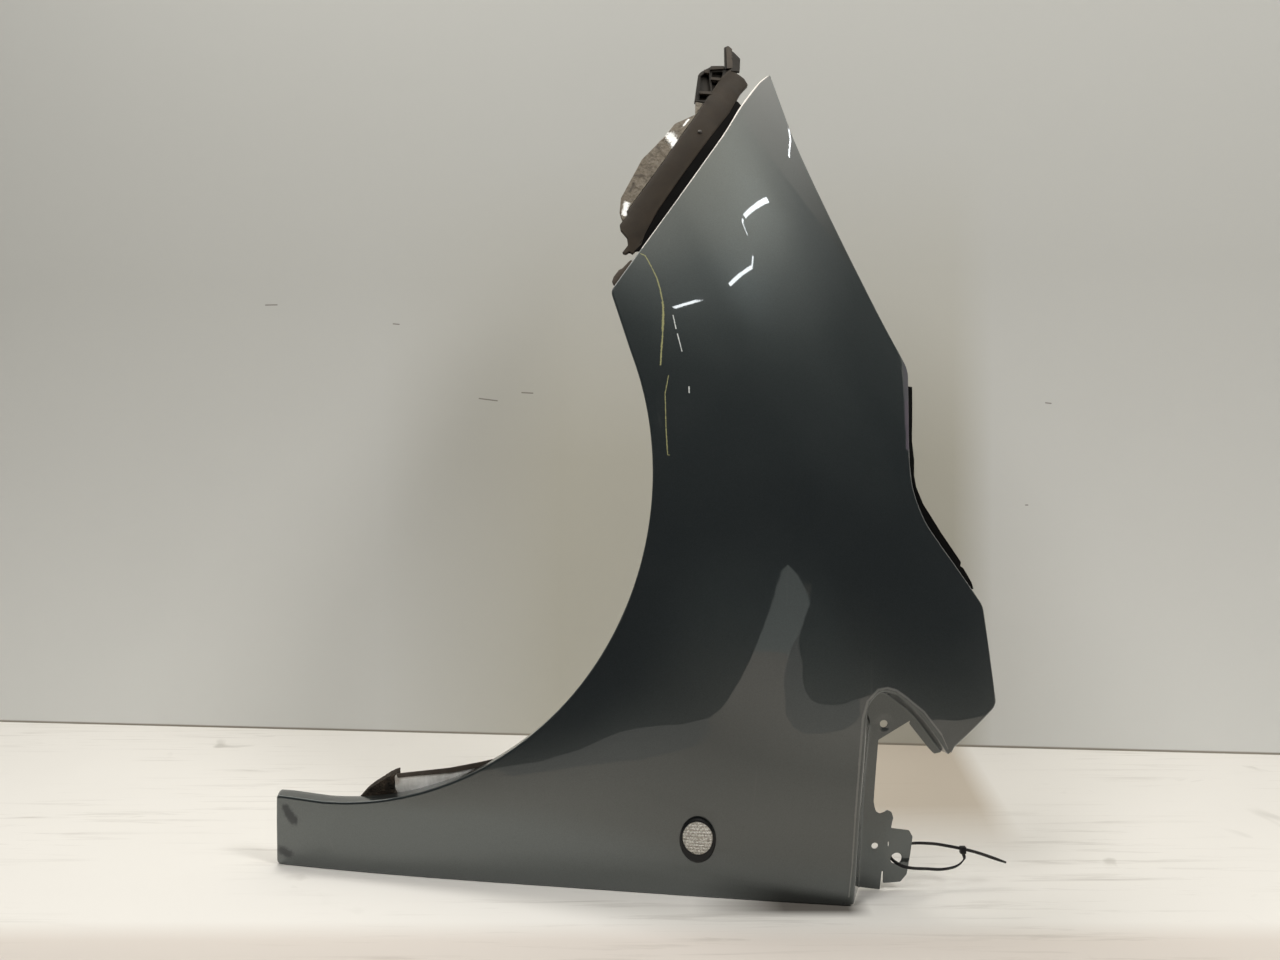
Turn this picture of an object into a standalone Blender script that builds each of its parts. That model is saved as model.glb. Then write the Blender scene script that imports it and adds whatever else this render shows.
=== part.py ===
import math

import bmesh
import bpy
import numpy as np
from mathutils import Vector
from mathutils.geometry import delaunay_2d_cdt

# Frame: +X is the car's up, +Y is inboard, +Z is the car's forward, metres.
# The panel stands on its door edge, and x = 0 is set at the end of the script.

# Sheet and bends
SHEET = 0.0009
BEND = 0.0025
GAP = 0.0003

# Skin depth: yaw, bow along the sill, lean, shoulder roll and arch flare
YAW = 0.19
YAW_X = 0.203
BOW = 0.0075
BOW_X = -0.091
BOW_HALF = 0.295
LEAN_LOW = -0.085
LEAN_HIGH = 0.44
LEAN_Z0 = 0.130
LEAN_Z1 = 0.800
ROLL = 0.080
ROLL_WIDTH = 0.196
ROLL_X = 0.397
FLARE = 0.012
FLARE_WIDTH = 0.098

# Wheel arch
ARCH_X = -0.338
ARCH_Z = 0.4265
ARCH_R = 0.350
ARCH_TOP_DEG = 20.0
ARCH_END_DEG = -90.0

# Corners of the skin, as x and z
LEG_TOP = (-0.3905, 0.0795)
LEG_LOW = (-0.3960, 0.0)
DOOR_END = (0.2062, 0.0)
NOTCH_END = (0.3030, 0.1535)
PILLAR_CORNER = (0.3572, 0.1925)
HOOD_LOW = (0.3448, 0.2925)
HOOD_KINK = (0.2815, 0.5320)
TIP = (0.1625, 0.9255)
LAMP_LOW = (0.0005, 0.6620)
BUMPER_CORNER = (-0.0310, 0.6150)

# Curved stretches between those corners
REAR_EDGE = [DOOR_END, (0.2083, 0.044), (0.2103, 0.090), (0.2136, 0.142), (0.2163, 0.189),
             (0.2200, 0.2045), (0.2300, 0.2150), (0.2385, 0.2162), (0.2470, 0.2138),
             (0.2563, 0.2070), (0.2742, 0.1921), (0.2922, 0.1695), NOTCH_END]
HOOD_EDGE_LOW = [HOOD_LOW, (0.3166, 0.3299), (0.2983, 0.3541), (0.2841, 0.3747), (0.2759, 0.3933),
                 (0.2714, 0.4103), (0.2700, 0.4274), (0.2709, 0.4501), (0.2785, 0.5150), HOOD_KINK]
HOOD_EDGE_HIGH = [HOOD_KINK, (0.2656, 0.5650), (0.2469, 0.6096), (0.2211, 0.6807), (0.1965, 0.7588),
                  (0.1814, 0.8160), (0.1725, 0.8640), TIP]
LAMP_EDGE = [TIP, (0.1440, 0.9008), (0.1173, 0.8540), (0.0933, 0.8072), (0.0510, 0.7386), LAMP_LOW]

# Return flanges: depth behind the skin, and the lip at their end
ARCH_FLANGE = 0.018
DOOR_FLANGE = 0.014
LEG_FLANGE = 0.010
PILLAR_FLANGE = 0.009
HOOD_FLANGE = 0.014
LAMP_FLANGE = 0.012
LIP = 0.003
LIP_DROP = 0.0008
SEAT = 0.00035
HOOD_LEDGE = 0.011
HOOD_LEDGE_END = 0.0075

# Pillar plate behind the rear edge, a plane that leans with the skin
PLATE_Y = 0.040
PLATE_LEAN = -0.17
WALL_LOW = 0.0185
WALL_MID = 0.0140
WALL_NOTCH = 0.0090
PLATE_EDGE = [(0.2260, 0.0030), (0.2444, 0.0005), (0.2458, 0.0205), (0.2470, 0.0205),
              (0.2475, 0.0075), (0.2660, 0.0075), (0.2725, 0.0150), (0.2755, 0.0380),
              (0.2770, 0.0556), (0.2730, 0.0626), (0.2535, 0.0665), (0.2550, 0.0780),
              (0.2530, 0.0840), (0.2486, 0.0862), (0.2450, 0.0835), (0.2410, 0.0822),
              (0.2375, 0.0845), (0.2358, 0.0890), (0.2345, 0.0955), (0.2354, 0.1265),
              (0.2366, 0.1600), (0.2675, 0.1802), (0.2666, 0.1767), (0.2872, 0.1510),
              (0.2926, 0.1456)]
WALL_END = (0.2985, 0.1470)
TAB_BEND_X = 0.2490
TAB_SLOPE = 0.20

# Holes in the pillar plate: centre and radius
NOTCH_HOLE = (0.2416, 0.1764, 0.0038)
PLATE_HOLE = (0.2374, 0.0480, 0.0034)
TAB_HOLE = (0.2604, 0.0333, 0.0061)
TAB_SLIT = (0.2514, 0.0495, 0.0006, 0.0025)

# Side repeater: centre, bezel and lens half-widths, heights off the skin
LAMP_X = 0.0572
LAMP_Z = 0.0595
BEZEL_A = 0.0178
BEZEL_B = 0.0229
LENS_A = 0.0150
LENS_B = 0.0177
LENS_RISE = 0.0010
HOLE_A = 0.0130
HOLE_B = 0.0155

# Headlamp bracket along the lamp edge, as x and z
BRACKET = [(-0.0080, 0.6607), (-0.0149, 0.6590), (-0.0184, 0.6622), (-0.0115, 0.6711),
           (-0.0140, 0.6790), (-0.0222, 0.6925), (-0.0199, 0.6992), (-0.0092, 0.7016),
           (-0.0134, 0.7071), (-0.0131, 0.7142), (0.0097, 0.7447), (0.0280, 0.7796),
           (0.0638, 0.8374), (0.0752, 0.8586), (0.0640, 0.8586), (0.0686, 0.8996),
           (0.0775, 0.9109), (0.0871, 0.9200), (0.1000, 0.9215), (0.1145, 0.9266),
           (0.1171, 0.9524), (0.1251, 0.9430), (0.1214, 0.9181), (0.1316, 0.9018),
           (0.1163, 0.8720), (0.1149, 0.8596), (0.1029, 0.8487), (0.0557, 0.7703),
           (0.0322, 0.7328), (0.0152, 0.7062), (-0.0033, 0.6736), (-0.0045, 0.6632)]
BRACKET_LEDGE = [(-0.0060, 0.6752), (0.0115, 0.7080), (0.0290, 0.7360), (0.0520, 0.7735),
                 (0.1000, 0.8530), (0.1120, 0.8369), (0.0770, 0.7700), (0.0500, 0.7279),
                 (0.0200, 0.6790), (0.0070, 0.6640)]
BRACKET_FRONT = 0.0115
BRACKET_DEEP = 0.011
LEDGE_DEEP = 0.0025
BLADE = [(0.1030, 0.9234), (0.1115, 0.9700), (0.1162, 0.9642), (0.1133, 0.9268)]
BLADE_DEEP = 0.0016
PIN = (0.0681, 0.8145, 0.0024)
FOIL = [(0.0610, 0.8380), (0.0399, 0.8262), (0.0284, 0.8080), (0.0135, 0.7836), (-0.0144, 0.7394),
        (-0.0214, 0.7272), (-0.0218, 0.7066), (-0.0168, 0.7024)]
FOIL_GAP = 0.0005
FOIL_DEEP = 0.010
BUMPER_CLIP = [(-0.0297, 0.6280), (-0.0279, 0.6333), (-0.0224, 0.6412), (-0.0189, 0.6428),
               (-0.0101, 0.6525), (-0.0032, 0.6494), (-0.0190, 0.6231), (-0.0254, 0.6188)]
CLIP_DEEP = 0.006

# Stay and foam block behind the sill leg
STAY = [(-0.2603, 0.1050), (-0.2603, 0.0900), (-0.2400, 0.0600), (-0.2400, 0.0), (-0.1650, 0.0),
        (-0.1650, 0.0700), (-0.1450, 0.1150), (-0.1450, 0.1306), (-0.1665, 0.1245),
        (-0.1992, 0.1161), (-0.2412, 0.1091)]
STAY_SHEET = 0.0012
FOOT_DEEP = 0.030
FOAM = [(-0.3016, 0.0250), (-0.2630, 0.0250), (-0.2630, 0.1049), (-0.2842, 0.0984),
        (-0.2991, 0.0952), (-0.3016, 0.0850)]
FOAM_DEEP = 0.028

# Cable tie through the tab hole, as offsets from the hole's centre
TIE_WIDTH = 0.0038
TIE_THICK = 0.0014
TIE_PATH = [(0.0708, 0.0094, 0.0032), (0.0719, 0.0094, -0.0043), (0.0633, 0.0074, -0.0108),
            (0.0476, 0.0034, -0.0124), (0.0311, -0.0006, -0.0103), (0.0171, -0.0031, -0.0088),
            (0.0056, -0.0041, -0.0063), (-0.0026, 0.0006, -0.0025), (-0.0049, 0.0049, 0.0012),
            (-0.0009, 0.0089, 0.0057), (0.0076, 0.0104, 0.0092), (0.0206, 0.0104, 0.0117),
            (0.0401, 0.0099, 0.0114), (0.0556, 0.0094, 0.0092), (0.0706, 0.0094, 0.0062),
            (0.0876, 0.0099, 0.0017), (0.1156, 0.0109, -0.0083)]
TIE_HEAD = (0.0708, 0.0094, 0.0052)

GRID = 0.021
STEP = 0.014


def smooth_lean(z):
    span = LEAN_Z1 - LEAN_Z0
    t = min(max((z - LEAN_Z0) / span, 0.0), 1.0)
    curve = span * (t ** 3 - t ** 4 / 2) + max(z - LEAN_Z1, 0.0)
    return LEAN_LOW * z + (LEAN_HIGH - LEAN_LOW) * curve


def skin_y(x, z):
    t = z - 0.175
    hood_x = ROLL_X - 0.20 * t - 0.19 * t * t
    y = YAW * (YAW_X - x) + BOW * (((x - BOW_X) / BOW_HALF) ** 2 - 1)
    y += smooth_lean(z)
    y += ROLL * max((x - hood_x + ROLL_WIDTH) / ROLL_WIDTH, 0.0) ** 2
    r = math.hypot(x - ARCH_X, z - ARCH_Z)
    return y - FLARE * math.exp(-((r - ARCH_R) / FLARE_WIDTH) ** 2)


def slopes(x, z):
    e = 0.001
    return ((skin_y(x + e, z) - skin_y(x - e, z)) / (2 * e),
            (skin_y(x, z + e) - skin_y(x, z - e)) / (2 * e))


def skin_point(x, z, back=0.0):
    return Vector((x, skin_y(x, z) + back, z))


def behind(x, z, depth):
    """The point at a depth behind the skin, measured square to it."""
    sx, sz = slopes(x, z)
    return skin_point(x, z, depth * math.sqrt(1 + sx * sx + sz * sz))


def flange_end(depth):
    return depth + LIP_DROP + SEAT


def plate_point(x, z, back=0.0):
    y = PLATE_Y + PLATE_LEAN * z
    if z < 0.075 and x > TAB_BEND_X:
        y += TAB_SLOPE * (x - TAB_BEND_X)
    return Vector((x, y + back, z))


def spline(points, step=0.002):
    pts = [np.array(p) for p in points]
    pts = [2 * pts[0] - pts[1]] + pts + [2 * pts[-1] - pts[-2]]
    out = []
    for i in range(1, len(pts) - 2):
        a, b, c, d = pts[i - 1:i + 3]
        n = max(2, int(np.linalg.norm(c - b) / step))
        for k in range(n):
            t = k / n
            out.append(0.5 * (2 * b + (c - a) * t + (2 * a - 5 * b + 4 * c - d) * t * t
                              + (3 * b - a - 3 * c + d) * t ** 3))
    out.append(pts[-2])
    return out


def straight(a, b, step=0.002):
    a, b = np.array(a), np.array(b)
    n = max(2, int(np.linalg.norm(b - a) / step))
    return [a + (b - a) * k / n for k in range(n + 1)]


def trim(points, cut):
    total = 0.0
    for i in range(1, len(points)):
        total += np.linalg.norm(points[i] - points[i - 1])
        if total >= cut:
            return points[i:]
    return points[-2:]


def join(stretches, cuts):
    """Chain stretches and round each corner between them. Each is (points, values)."""
    out = []
    for i, (points, values) in enumerate(stretches):
        if i:
            points = trim(points, cuts[i - 1])
        if i < len(cuts):
            points = trim(points[::-1], cuts[i])[::-1]
        if i:
            corner = np.array(stretches[i][0][0])
            start, before = out[-1]
            end, after = points[0], values(points[0])
            for t in (0.25, 0.5, 0.75):
                p = (1 - t) ** 2 * start + 2 * t * (1 - t) * corner + t * t * end
                out.append((p, (1 - t) * before + t * after))
        out += [(p, values(p)) for p in points]
    return out


def thin(rows, tolerance=0.0002):
    """Keep the points a polyline needs, with none further apart than STEP."""
    data = np.array([np.concatenate((p, v)) for p, v in rows])
    keep = {0, len(rows) - 1}
    stack = [(0, len(rows) - 1)]
    while stack:
        i, j = stack.pop()
        if j - i < 2:
            continue
        chord = data[j] - data[i]
        length = max(np.linalg.norm(chord), 1e-9)
        along = (data[i + 1:j] - data[i]) @ chord / length
        away = np.linalg.norm(data[i + 1:j] - data[i] - np.outer(along / length, chord), axis=1)
        k = i + 1 + int(np.argmax(away))
        if away[k - i - 1] > tolerance or length > STEP:
            if away[k - i - 1] <= tolerance:
                k = (i + j) // 2
            keep.add(k)
            stack += [(i, k), (k, j)]
    return [rows[k] for k in sorted(keep)]


def outward(points, i, closed=False):
    n = len(points)
    a = points[(i - 1) % n] if closed or i > 0 else points[0]
    b = points[(i + 1) % n] if closed or i < n - 1 else points[n - 1]
    here = points[i]
    u = here - a if np.linalg.norm(here - a) > 1e-9 else b - here
    v = b - here if np.linalg.norm(b - here) > 1e-9 else u
    u, v = u / np.linalg.norm(u), v / np.linalg.norm(v)
    m = np.array((u[1] + v[1], -u[0] - v[0]))
    m /= max(np.linalg.norm(m), 1e-9)
    return m / max(m @ np.array((u[1], -u[0])), 0.6)


def inside(x, z, loop):
    hit = False
    j = len(loop) - 1
    for i, p in enumerate(loop):
        q = loop[j]
        if (p[1] > z) != (q[1] > z) and x < (q[0] - p[0]) * (z - p[1]) / (q[1] - p[1]) + p[0]:
            hit = not hit
        j = i
    return hit


def circle(x, z, r, n, r2=None):
    r2 = r if r2 is None else r2
    return [np.array((x + r * math.cos(2 * math.pi * k / n), z + r2 * math.sin(2 * math.pi * k / n)))
            for k in range(n)]


def material(name, color, rough, metal=0.0):
    mat = bpy.data.materials.new(name)
    mat.use_nodes = True
    shader = mat.node_tree.nodes["Principled BSDF"]
    shader.inputs["Base Color"].default_value = (*color, 1.0)
    shader.inputs["Roughness"].default_value = rough
    shader.inputs["Metallic"].default_value = metal
    return mat


def make_object(name, verts, faces, mat):
    mesh = bpy.data.meshes.new(name)
    mesh.from_pydata([tuple(v) for v in verts], [], faces)
    bm = bmesh.new()
    bm.from_mesh(mesh)
    bmesh.ops.remove_doubles(bm, verts=bm.verts, dist=0.00002)
    bmesh.ops.recalc_face_normals(bm, faces=bm.faces)
    bm.to_mesh(mesh)
    bm.free()
    mesh.materials.append(mat)
    obj = bpy.data.objects.new(name, mesh)
    bpy.context.scene.collection.objects.link(obj)
    return obj


def triangulate(points, edges, keep):
    """Constrained triangles over the points, kept where the test is true."""
    flat = [Vector((p[0], p[1])) for p in points]
    verts, _, faces, origin, _, _ = delaunay_2d_cdt(flat, edges, [], 0, 1e-7)
    index = [o[0] if o else None for o in origin]
    out = []
    for f in faces:
        if any(index[k] is None for k in f):
            continue
        a, b, c = (verts[k] for k in f)
        area = abs((b[0] - a[0]) * (c[1] - a[1]) - (c[0] - a[0]) * (b[1] - a[1])) / 2
        if area > 2e-9 and keep((a[0] + b[0] + c[0]) / 3, (a[1] + b[1] + c[1]) / 3):
            out.append([index[k] for k in f])
    return out


def slab(name, loop, front, back, mat, holes=(), spacing=0.02):
    """A closed plate: a loop in x and z, with front and back as functions of x and z."""
    loops = [list(loop)] + [list(h) for h in holes]
    points, edges = [], []
    for chain in loops:
        base = len(points)
        points += chain
        edges += [(base + k, base + (k + 1) % len(chain)) for k in range(len(chain))]
    xs = [p[0] for p in loop]
    zs = [p[1] for p in loop]
    rim = list(points)
    x = min(xs) + spacing / 2
    while x < max(xs):
        z = min(zs) + spacing / 2
        while z < max(zs):
            near = min(math.hypot(p[0] - x, p[1] - z) for p in rim)
            if near > spacing * 0.45 and inside(x, z, loops[0]):
                if not any(inside(x, z, h) for h in loops[1:]):
                    points.append(np.array((x, z)))
            z += spacing
        x += spacing

    def keep(cx, cz):
        return inside(cx, cz, loops[0]) and not any(inside(cx, cz, h) for h in loops[1:])

    tris = triangulate(points, edges, keep)
    n = len(points)
    verts = [front(p[0], p[1]) for p in points] + [back(p[0], p[1]) for p in points]
    faces = [list(f) for f in tris] + [[k + n for k in reversed(f)] for f in tris]
    for a, b in edges:
        faces.append([a, b, b + n, a + n])
    return make_object(name, verts, faces, mat)


def oval(name, profile, mat, closed, n=32):
    """Oval rings round the repeater's centre. Each profile row is a, b, height, rise."""
    verts, faces = [], []
    rings = []
    for a, b, h, rise in profile:
        if a == 0:
            rings.append([len(verts)])
            verts.append(skin_point(LAMP_X, LAMP_Z + rise, -h))
            continue
        rings.append(list(range(len(verts), len(verts) + n)))
        for k in range(n):
            t = 2 * math.pi * k / n
            verts.append(skin_point(LAMP_X + a * math.cos(t), LAMP_Z + rise + b * math.sin(t), -h))
    pairs = list(zip(rings, rings[1:]))
    if closed:
        pairs.append((rings[-1], rings[0]))
    for r, s in pairs:
        for k in range(n):
            m = (k + 1) % n
            if len(r) == 1:
                faces.append([r[0], s[k], s[m]])
            elif len(s) == 1:
                faces.append([r[k], r[m], s[0]])
            else:
                faces.append([r[k], r[m], s[m], s[k]])
    return make_object(name, verts, faces, mat)


def box(name, low, high, mat):
    verts = [(x, y, z) for x in (low[0], high[0]) for y in (low[1], high[1]) for z in (low[2], high[2])]
    faces = [(0, 1, 3, 2), (4, 6, 7, 5), (0, 4, 5, 1), (2, 3, 7, 6), (0, 2, 6, 4), (1, 5, 7, 3)]
    return make_object(name, verts, faces, mat)


def rim_rows():
    """The flanged outline from the notch end round to the door end, with flange sizes."""
    def sizes(depth, lip, flat=0.0):
        return lambda p: np.array((depth, lip, flat))

    def ledge(p):
        if p[1] < 0.3065:
            return np.array((HOOD_FLANGE, -LIP, 0.0))
        if p[1] < 0.3245:
            arc = math.sin(math.pi * (p[1] - 0.3065) / (2 * 0.018))
            return np.array((HOOD_FLANGE, 0.0015 + 0.0065 * arc, 0.0))
        if p[1] < 0.5160:
            t = min((p[1] - 0.3245) / 0.12, 1.0)
            return np.array((HOOD_FLANGE, HOOD_LEDGE + (HOOD_LEDGE_END - HOOD_LEDGE) * t, 0.0))
        return np.array((HOOD_FLANGE, -LIP, 0.0))

    top = math.radians(ARCH_TOP_DEG)
    end = math.radians(ARCH_END_DEG)
    arc = [np.array((ARCH_X + ARCH_R * math.cos(top + (end - top) * k / 200),
                     ARCH_Z + ARCH_R * math.sin(top + (end - top) * k / 200))) for k in range(201)]
    arch = straight(BUMPER_CORNER, arc[0])[:-1] + arc + straight(arc[-1], LEG_TOP)[1:]
    stretches = [
        (straight(NOTCH_END, PILLAR_CORNER), sizes(PILLAR_FLANGE, -LIP)),
        (straight(PILLAR_CORNER, HOOD_LOW), sizes(PILLAR_FLANGE, -LIP)),
        (spline(HOOD_EDGE_LOW), ledge),
        (spline(HOOD_EDGE_HIGH), sizes(HOOD_FLANGE, -LIP)),
        (spline(LAMP_EDGE), sizes(LAMP_FLANGE, -LIP)),
        (straight(LAMP_LOW, BUMPER_CORNER), sizes(LAMP_FLANGE, -LIP)),
        (arch, sizes(ARCH_FLANGE, -LIP)),
        (straight(LEG_TOP, LEG_LOW), sizes(LEG_FLANGE, -LIP)),
        (straight(LEG_LOW, DOOR_END), sizes(DOOR_FLANGE, -LIP, 1.0)),
    ]
    return thin(join(stretches, [0.008, 0.006, 0.008, 0.006, 0.004, 0.005, 0.004, 0.005]))


def build_panel(mat):
    rows = rim_rows()
    line = [p for p, _ in rows]
    rim = [line[i] - BEND * outward(line, i) for i in range(len(line))]
    rim[0] = np.array(NOTCH_END)
    rim[-1] = np.array((DOOR_END[0], DOOR_END[1] + BEND))

    rear = [p for p, _ in thin([(p, np.zeros(1)) for p in spline(REAR_EDGE)])]
    rear[0] = rim[-1]
    wall, soft = [], []
    for i, p in enumerate(rear):
        out = outward(rear, i)
        out /= np.linalg.norm(out)
        t = min(p[1] / 0.120, 1.0)
        width = WALL_LOW + (WALL_MID - WALL_LOW) * t
        if i > 0 and (p[1] > 0.185 or p[0] > 0.222):
            width = WALL_NOTCH
        if i == 0:
            out = np.array((1.0, 0.0))
        wall.append(p + width * out)
        soft.append(p + 0.0012 * out)
    wall[-1] = np.array(WALL_END)
    wall[0] = np.array((wall[0][0], 0.0030))
    outer = [np.array(p) for p in PLATE_EDGE[1:]]
    soft = soft[1:-1]

    skin = rim[:]
    border = skin + [wall[0]] + outer + [wall[-1]]
    points, place = list(border), [skin_point(*p) for p in skin]
    place += [plate_point(*p) for p in border[len(skin):]]
    n = len(border)
    edges = [(k, (k + 1) % n) for k in range(n)]

    def chain(poly, first, last, maker):
        ids = [first]
        for p in poly:
            ids.append(len(points))
            points.append(p)
            place.append(maker(p))
        ids.append(last)
        edges.extend(zip(ids, ids[1:]))

    chain(rear[1:-1], len(skin) - 1, 0, lambda p: skin_point(*p))
    chain(wall[1:-1], len(skin), n - 1, lambda p: plate_point(*p))
    for p in soft:
        points.append(p)
        place.append(skin_point(p[0], p[1], 0.0022))

    holes = []
    for x, z, r in (NOTCH_HOLE, PLATE_HOLE, TAB_HOLE):
        holes.append((circle(x, z, r, 20), plate_point))
    x, z, a, b = TAB_SLIT
    holes.append(([np.array(q) for q in ((x - a, z - b), (x + a, z - b), (x + a, z + b), (x - a, z + b))],
                  plate_point))
    holes.append((circle(LAMP_X, LAMP_Z, HOLE_A, 32, HOLE_B), skin_point))
    for loop, maker in holes:
        base = len(points)
        points.extend(loop)
        place.extend(maker(*p) for p in loop)
        edges.extend((base + k, base + (k + 1) % len(loop)) for k in range(len(loop)))
    ring = circle(LAMP_X, LAMP_Z, HOLE_A + 0.007, 24, HOLE_B + 0.007)
    points.extend(ring)
    place.extend(skin_point(*p) for p in ring)
    for z in (0.030, 0.060):
        base = len(points)
        points.append(np.array((TAB_BEND_X, z)))
        place.append(plate_point(*points[base]))

    tight = np.array(points)
    skin_loop = skin + rear[1:-1]
    row = 0
    z = GRID / 2
    while z < 0.93:
        x = -0.40 + (GRID / 2 if row % 2 else 0.0)
        while x < 0.36:
            near = np.min(np.hypot(tight[:, 0] - x, tight[:, 1] - z))
            if near > GRID * 0.5 and inside(x, z, skin_loop):
                if not inside(x, z, ring):
                    points.append(np.array((x, z)))
                    place.append(skin_point(x, z))
            x += GRID
        z += GRID * 0.866
        row += 1

    def keep(x, z):
        return inside(x, z, border) and not any(inside(x, z, loop) for loop, _ in holes)

    faces = triangulate(points, edges, keep)
    verts = list(place)

    # Return flange: a rolled bend, a wall and a lip, along the flanged outline
    last = list(range(len(rim)))
    count = len(rim)
    stations = []
    for i, (p, (depth, lip, flat)) in enumerate(rows):
        flat = float(flat)
        out = outward(line, i)
        out /= np.linalg.norm(out)
        fade = min(1.0, (count - 1 - i) / 2 + 0.3, i / 2 + 0.4)
        depth, lip = float(depth * fade), float(lip * fade)
        sx, sz = slopes(*p)
        side = Vector((out[0], sx * out[0] + sz * out[1], out[1])).normalized()
        inboard = Vector((-sx, 1.0, -sz)).normalized()
        level = Vector((-sx, 1.0, 0.0)).normalized()
        inboard = (inboard * (1 - flat) + level * flat).normalized()
        if flat > 0.5:
            side = Vector((0, 0, -1))
        base = skin_point(*p)
        if i in (0, count - 1):
            base = verts[i] + BEND * side
        stations.append([base + a * side + b * inboard for a, b in (
            (-0.293 * BEND, 0.293 * BEND), (0.0, BEND), (0.0, max(depth, BEND * 1.6)),
            (lip, max(depth, BEND * 1.6) + LIP_DROP))])
    for k in range(4):
        here = []
        for i in range(count):
            here.append(len(verts))
            verts.append(stations[i][k])
        for i in range(count - 1):
            faces.append([last[i], last[i + 1], here[i + 1], here[i]])
        last = here

    panel = make_object("fender_panel", verts, faces, mat)
    bm = bmesh.new()
    bm.from_mesh(panel.data)
    bm.faces.ensure_lookup_table()
    middle = max(bm.faces, key=lambda f: f.calc_area())
    if middle.normal.y > 0:
        bmesh.ops.reverse_faces(bm, faces=bm.faces)
    bm.to_mesh(panel.data)
    bm.free()
    solid = panel.modifiers.new("sheet", "SOLIDIFY")
    solid.thickness = SHEET
    solid.offset = -1.0
    solid.use_even_offset = True
    return panel


def build_repeater(paint):
    g = GAP
    gasket_top = 0.0010
    oval("repeater_gasket", [(BEZEL_A - 0.001, BEZEL_B - 0.001, g, 0.0),
                             (BEZEL_A - 0.001, BEZEL_B - 0.001, gasket_top, 0.0),
                             (HOLE_A + 0.0006, HOLE_B + 0.0006, gasket_top, 0.0),
                             (HOLE_A + 0.0006, HOLE_B + 0.0006, g, 0.0)], paint["rubber"], True)
    low = gasket_top + g
    oval("repeater_bezel", [(BEZEL_A, BEZEL_B, low, 0.0), (BEZEL_A, BEZEL_B, low + 0.0016, 0.0),
                            (BEZEL_A - 0.0009, BEZEL_B - 0.0012, low + 0.0031, 0.0002),
                            (BEZEL_A - 0.0018, BEZEL_B - 0.0028, low + 0.0038, 0.0006),
                            (LENS_A + g, LENS_B + g, low + 0.0034, LENS_RISE),
                            (LENS_A + g, LENS_B + g, low + 0.0012, LENS_RISE),
                            (HOLE_A + 0.0006, HOLE_B + 0.0006, low + 0.0012, 0.0),
                            (HOLE_A + 0.0006, HOLE_B + 0.0006, low, 0.0)], paint["black"], True)
    seat = low + 0.0012 + g
    dome = seat + 0.0040
    oval("repeater_lens", [(0, 0, dome, LENS_RISE), (LENS_A * 0.40, LENS_B * 0.40, dome - 0.0003, LENS_RISE),
                           (LENS_A * 0.75, LENS_B * 0.75, dome - 0.0012, LENS_RISE),
                           (LENS_A * 0.93, LENS_B * 0.93, dome - 0.0022, LENS_RISE),
                           (LENS_A, LENS_B, dome - 0.0032, LENS_RISE), (LENS_A, LENS_B, seat, LENS_RISE),
                           (LENS_A - 0.002, LENS_B - 0.002, seat, LENS_RISE),
                           (LENS_A * 0.70, LENS_B * 0.70, dome - 0.0029, LENS_RISE),
                           (0, 0, dome - 0.0020, LENS_RISE)], paint["lens"], False)
    cup = HOLE_A - 0.0006
    cup_b = HOLE_B - 0.0006
    oval("repeater_reflector", [(cup, cup_b, seat - g - 0.0004, 0.0), (cup, cup_b, -0.0050, 0.0),
                                (0.0082, 0.0090, -0.0120, 0.0), (0.0052, 0.0052, -0.0120, 0.0),
                                (0.0052, 0.0052, -0.0108, 0.0), (0.0072, 0.0080, -0.0108, 0.0),
                                (cup - 0.0012, cup_b - 0.0012, -0.0045, 0.0),
                                (cup - 0.0012, cup_b - 0.0012, seat - g - 0.0004, 0.0)],
         paint["chrome"], True)
    oval("repeater_bulb", [(0, 0, 0.0010, 0.0), (0.0022, 0.0022, 0.0004, 0.0), (0.0032, 0.0032, -0.0012, 0.0),
                           (0.0032, 0.0032, -0.0090, 0.0), (0.0026, 0.0026, -0.0120, 0.0),
                           (0, 0, -0.0120, 0.0)], paint["amber"], False, 16)
    oval("repeater_holder", [(0, 0, -0.0123, 0.0), (0.0090, 0.0090, -0.0123, 0.0),
                             (0.0090, 0.0090, -0.0190, 0.0), (0.0060, 0.0060, -0.0190, 0.0),
                             (0.0060, 0.0060, -0.0250, 0.0), (0, 0, -0.0250, 0.0)],
         paint["black"], False, 24)
    behind = -SHEET - g
    oval("repeater_clip", [(cup + g, cup_b + g, behind, 0.0), (cup + 0.0045, cup_b + 0.0040, behind, 0.0),
                           (cup + 0.0045, cup_b + 0.0040, behind - 0.0010, 0.0),
                           (cup + g, cup_b + g, behind - 0.0010, 0.0)], paint["steel"], True)


def closed(points, step=0.018):
    out = []
    for i, p in enumerate(points):
        out += straight(p, points[(i + 1) % len(points)], step)[:-1]
    return out


def unite(base, other):
    cut = base.modifiers.new("join", "BOOLEAN")
    cut.operation = "UNION"
    cut.solver = "EXACT"
    cut.object = other
    graph = bpy.context.evaluated_depsgraph_get()
    mesh = bpy.data.meshes.new_from_object(base.evaluated_get(graph))
    base.modifiers.clear()
    base.data = mesh
    bpy.data.objects.remove(other, do_unlink=True)
    return base


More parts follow.
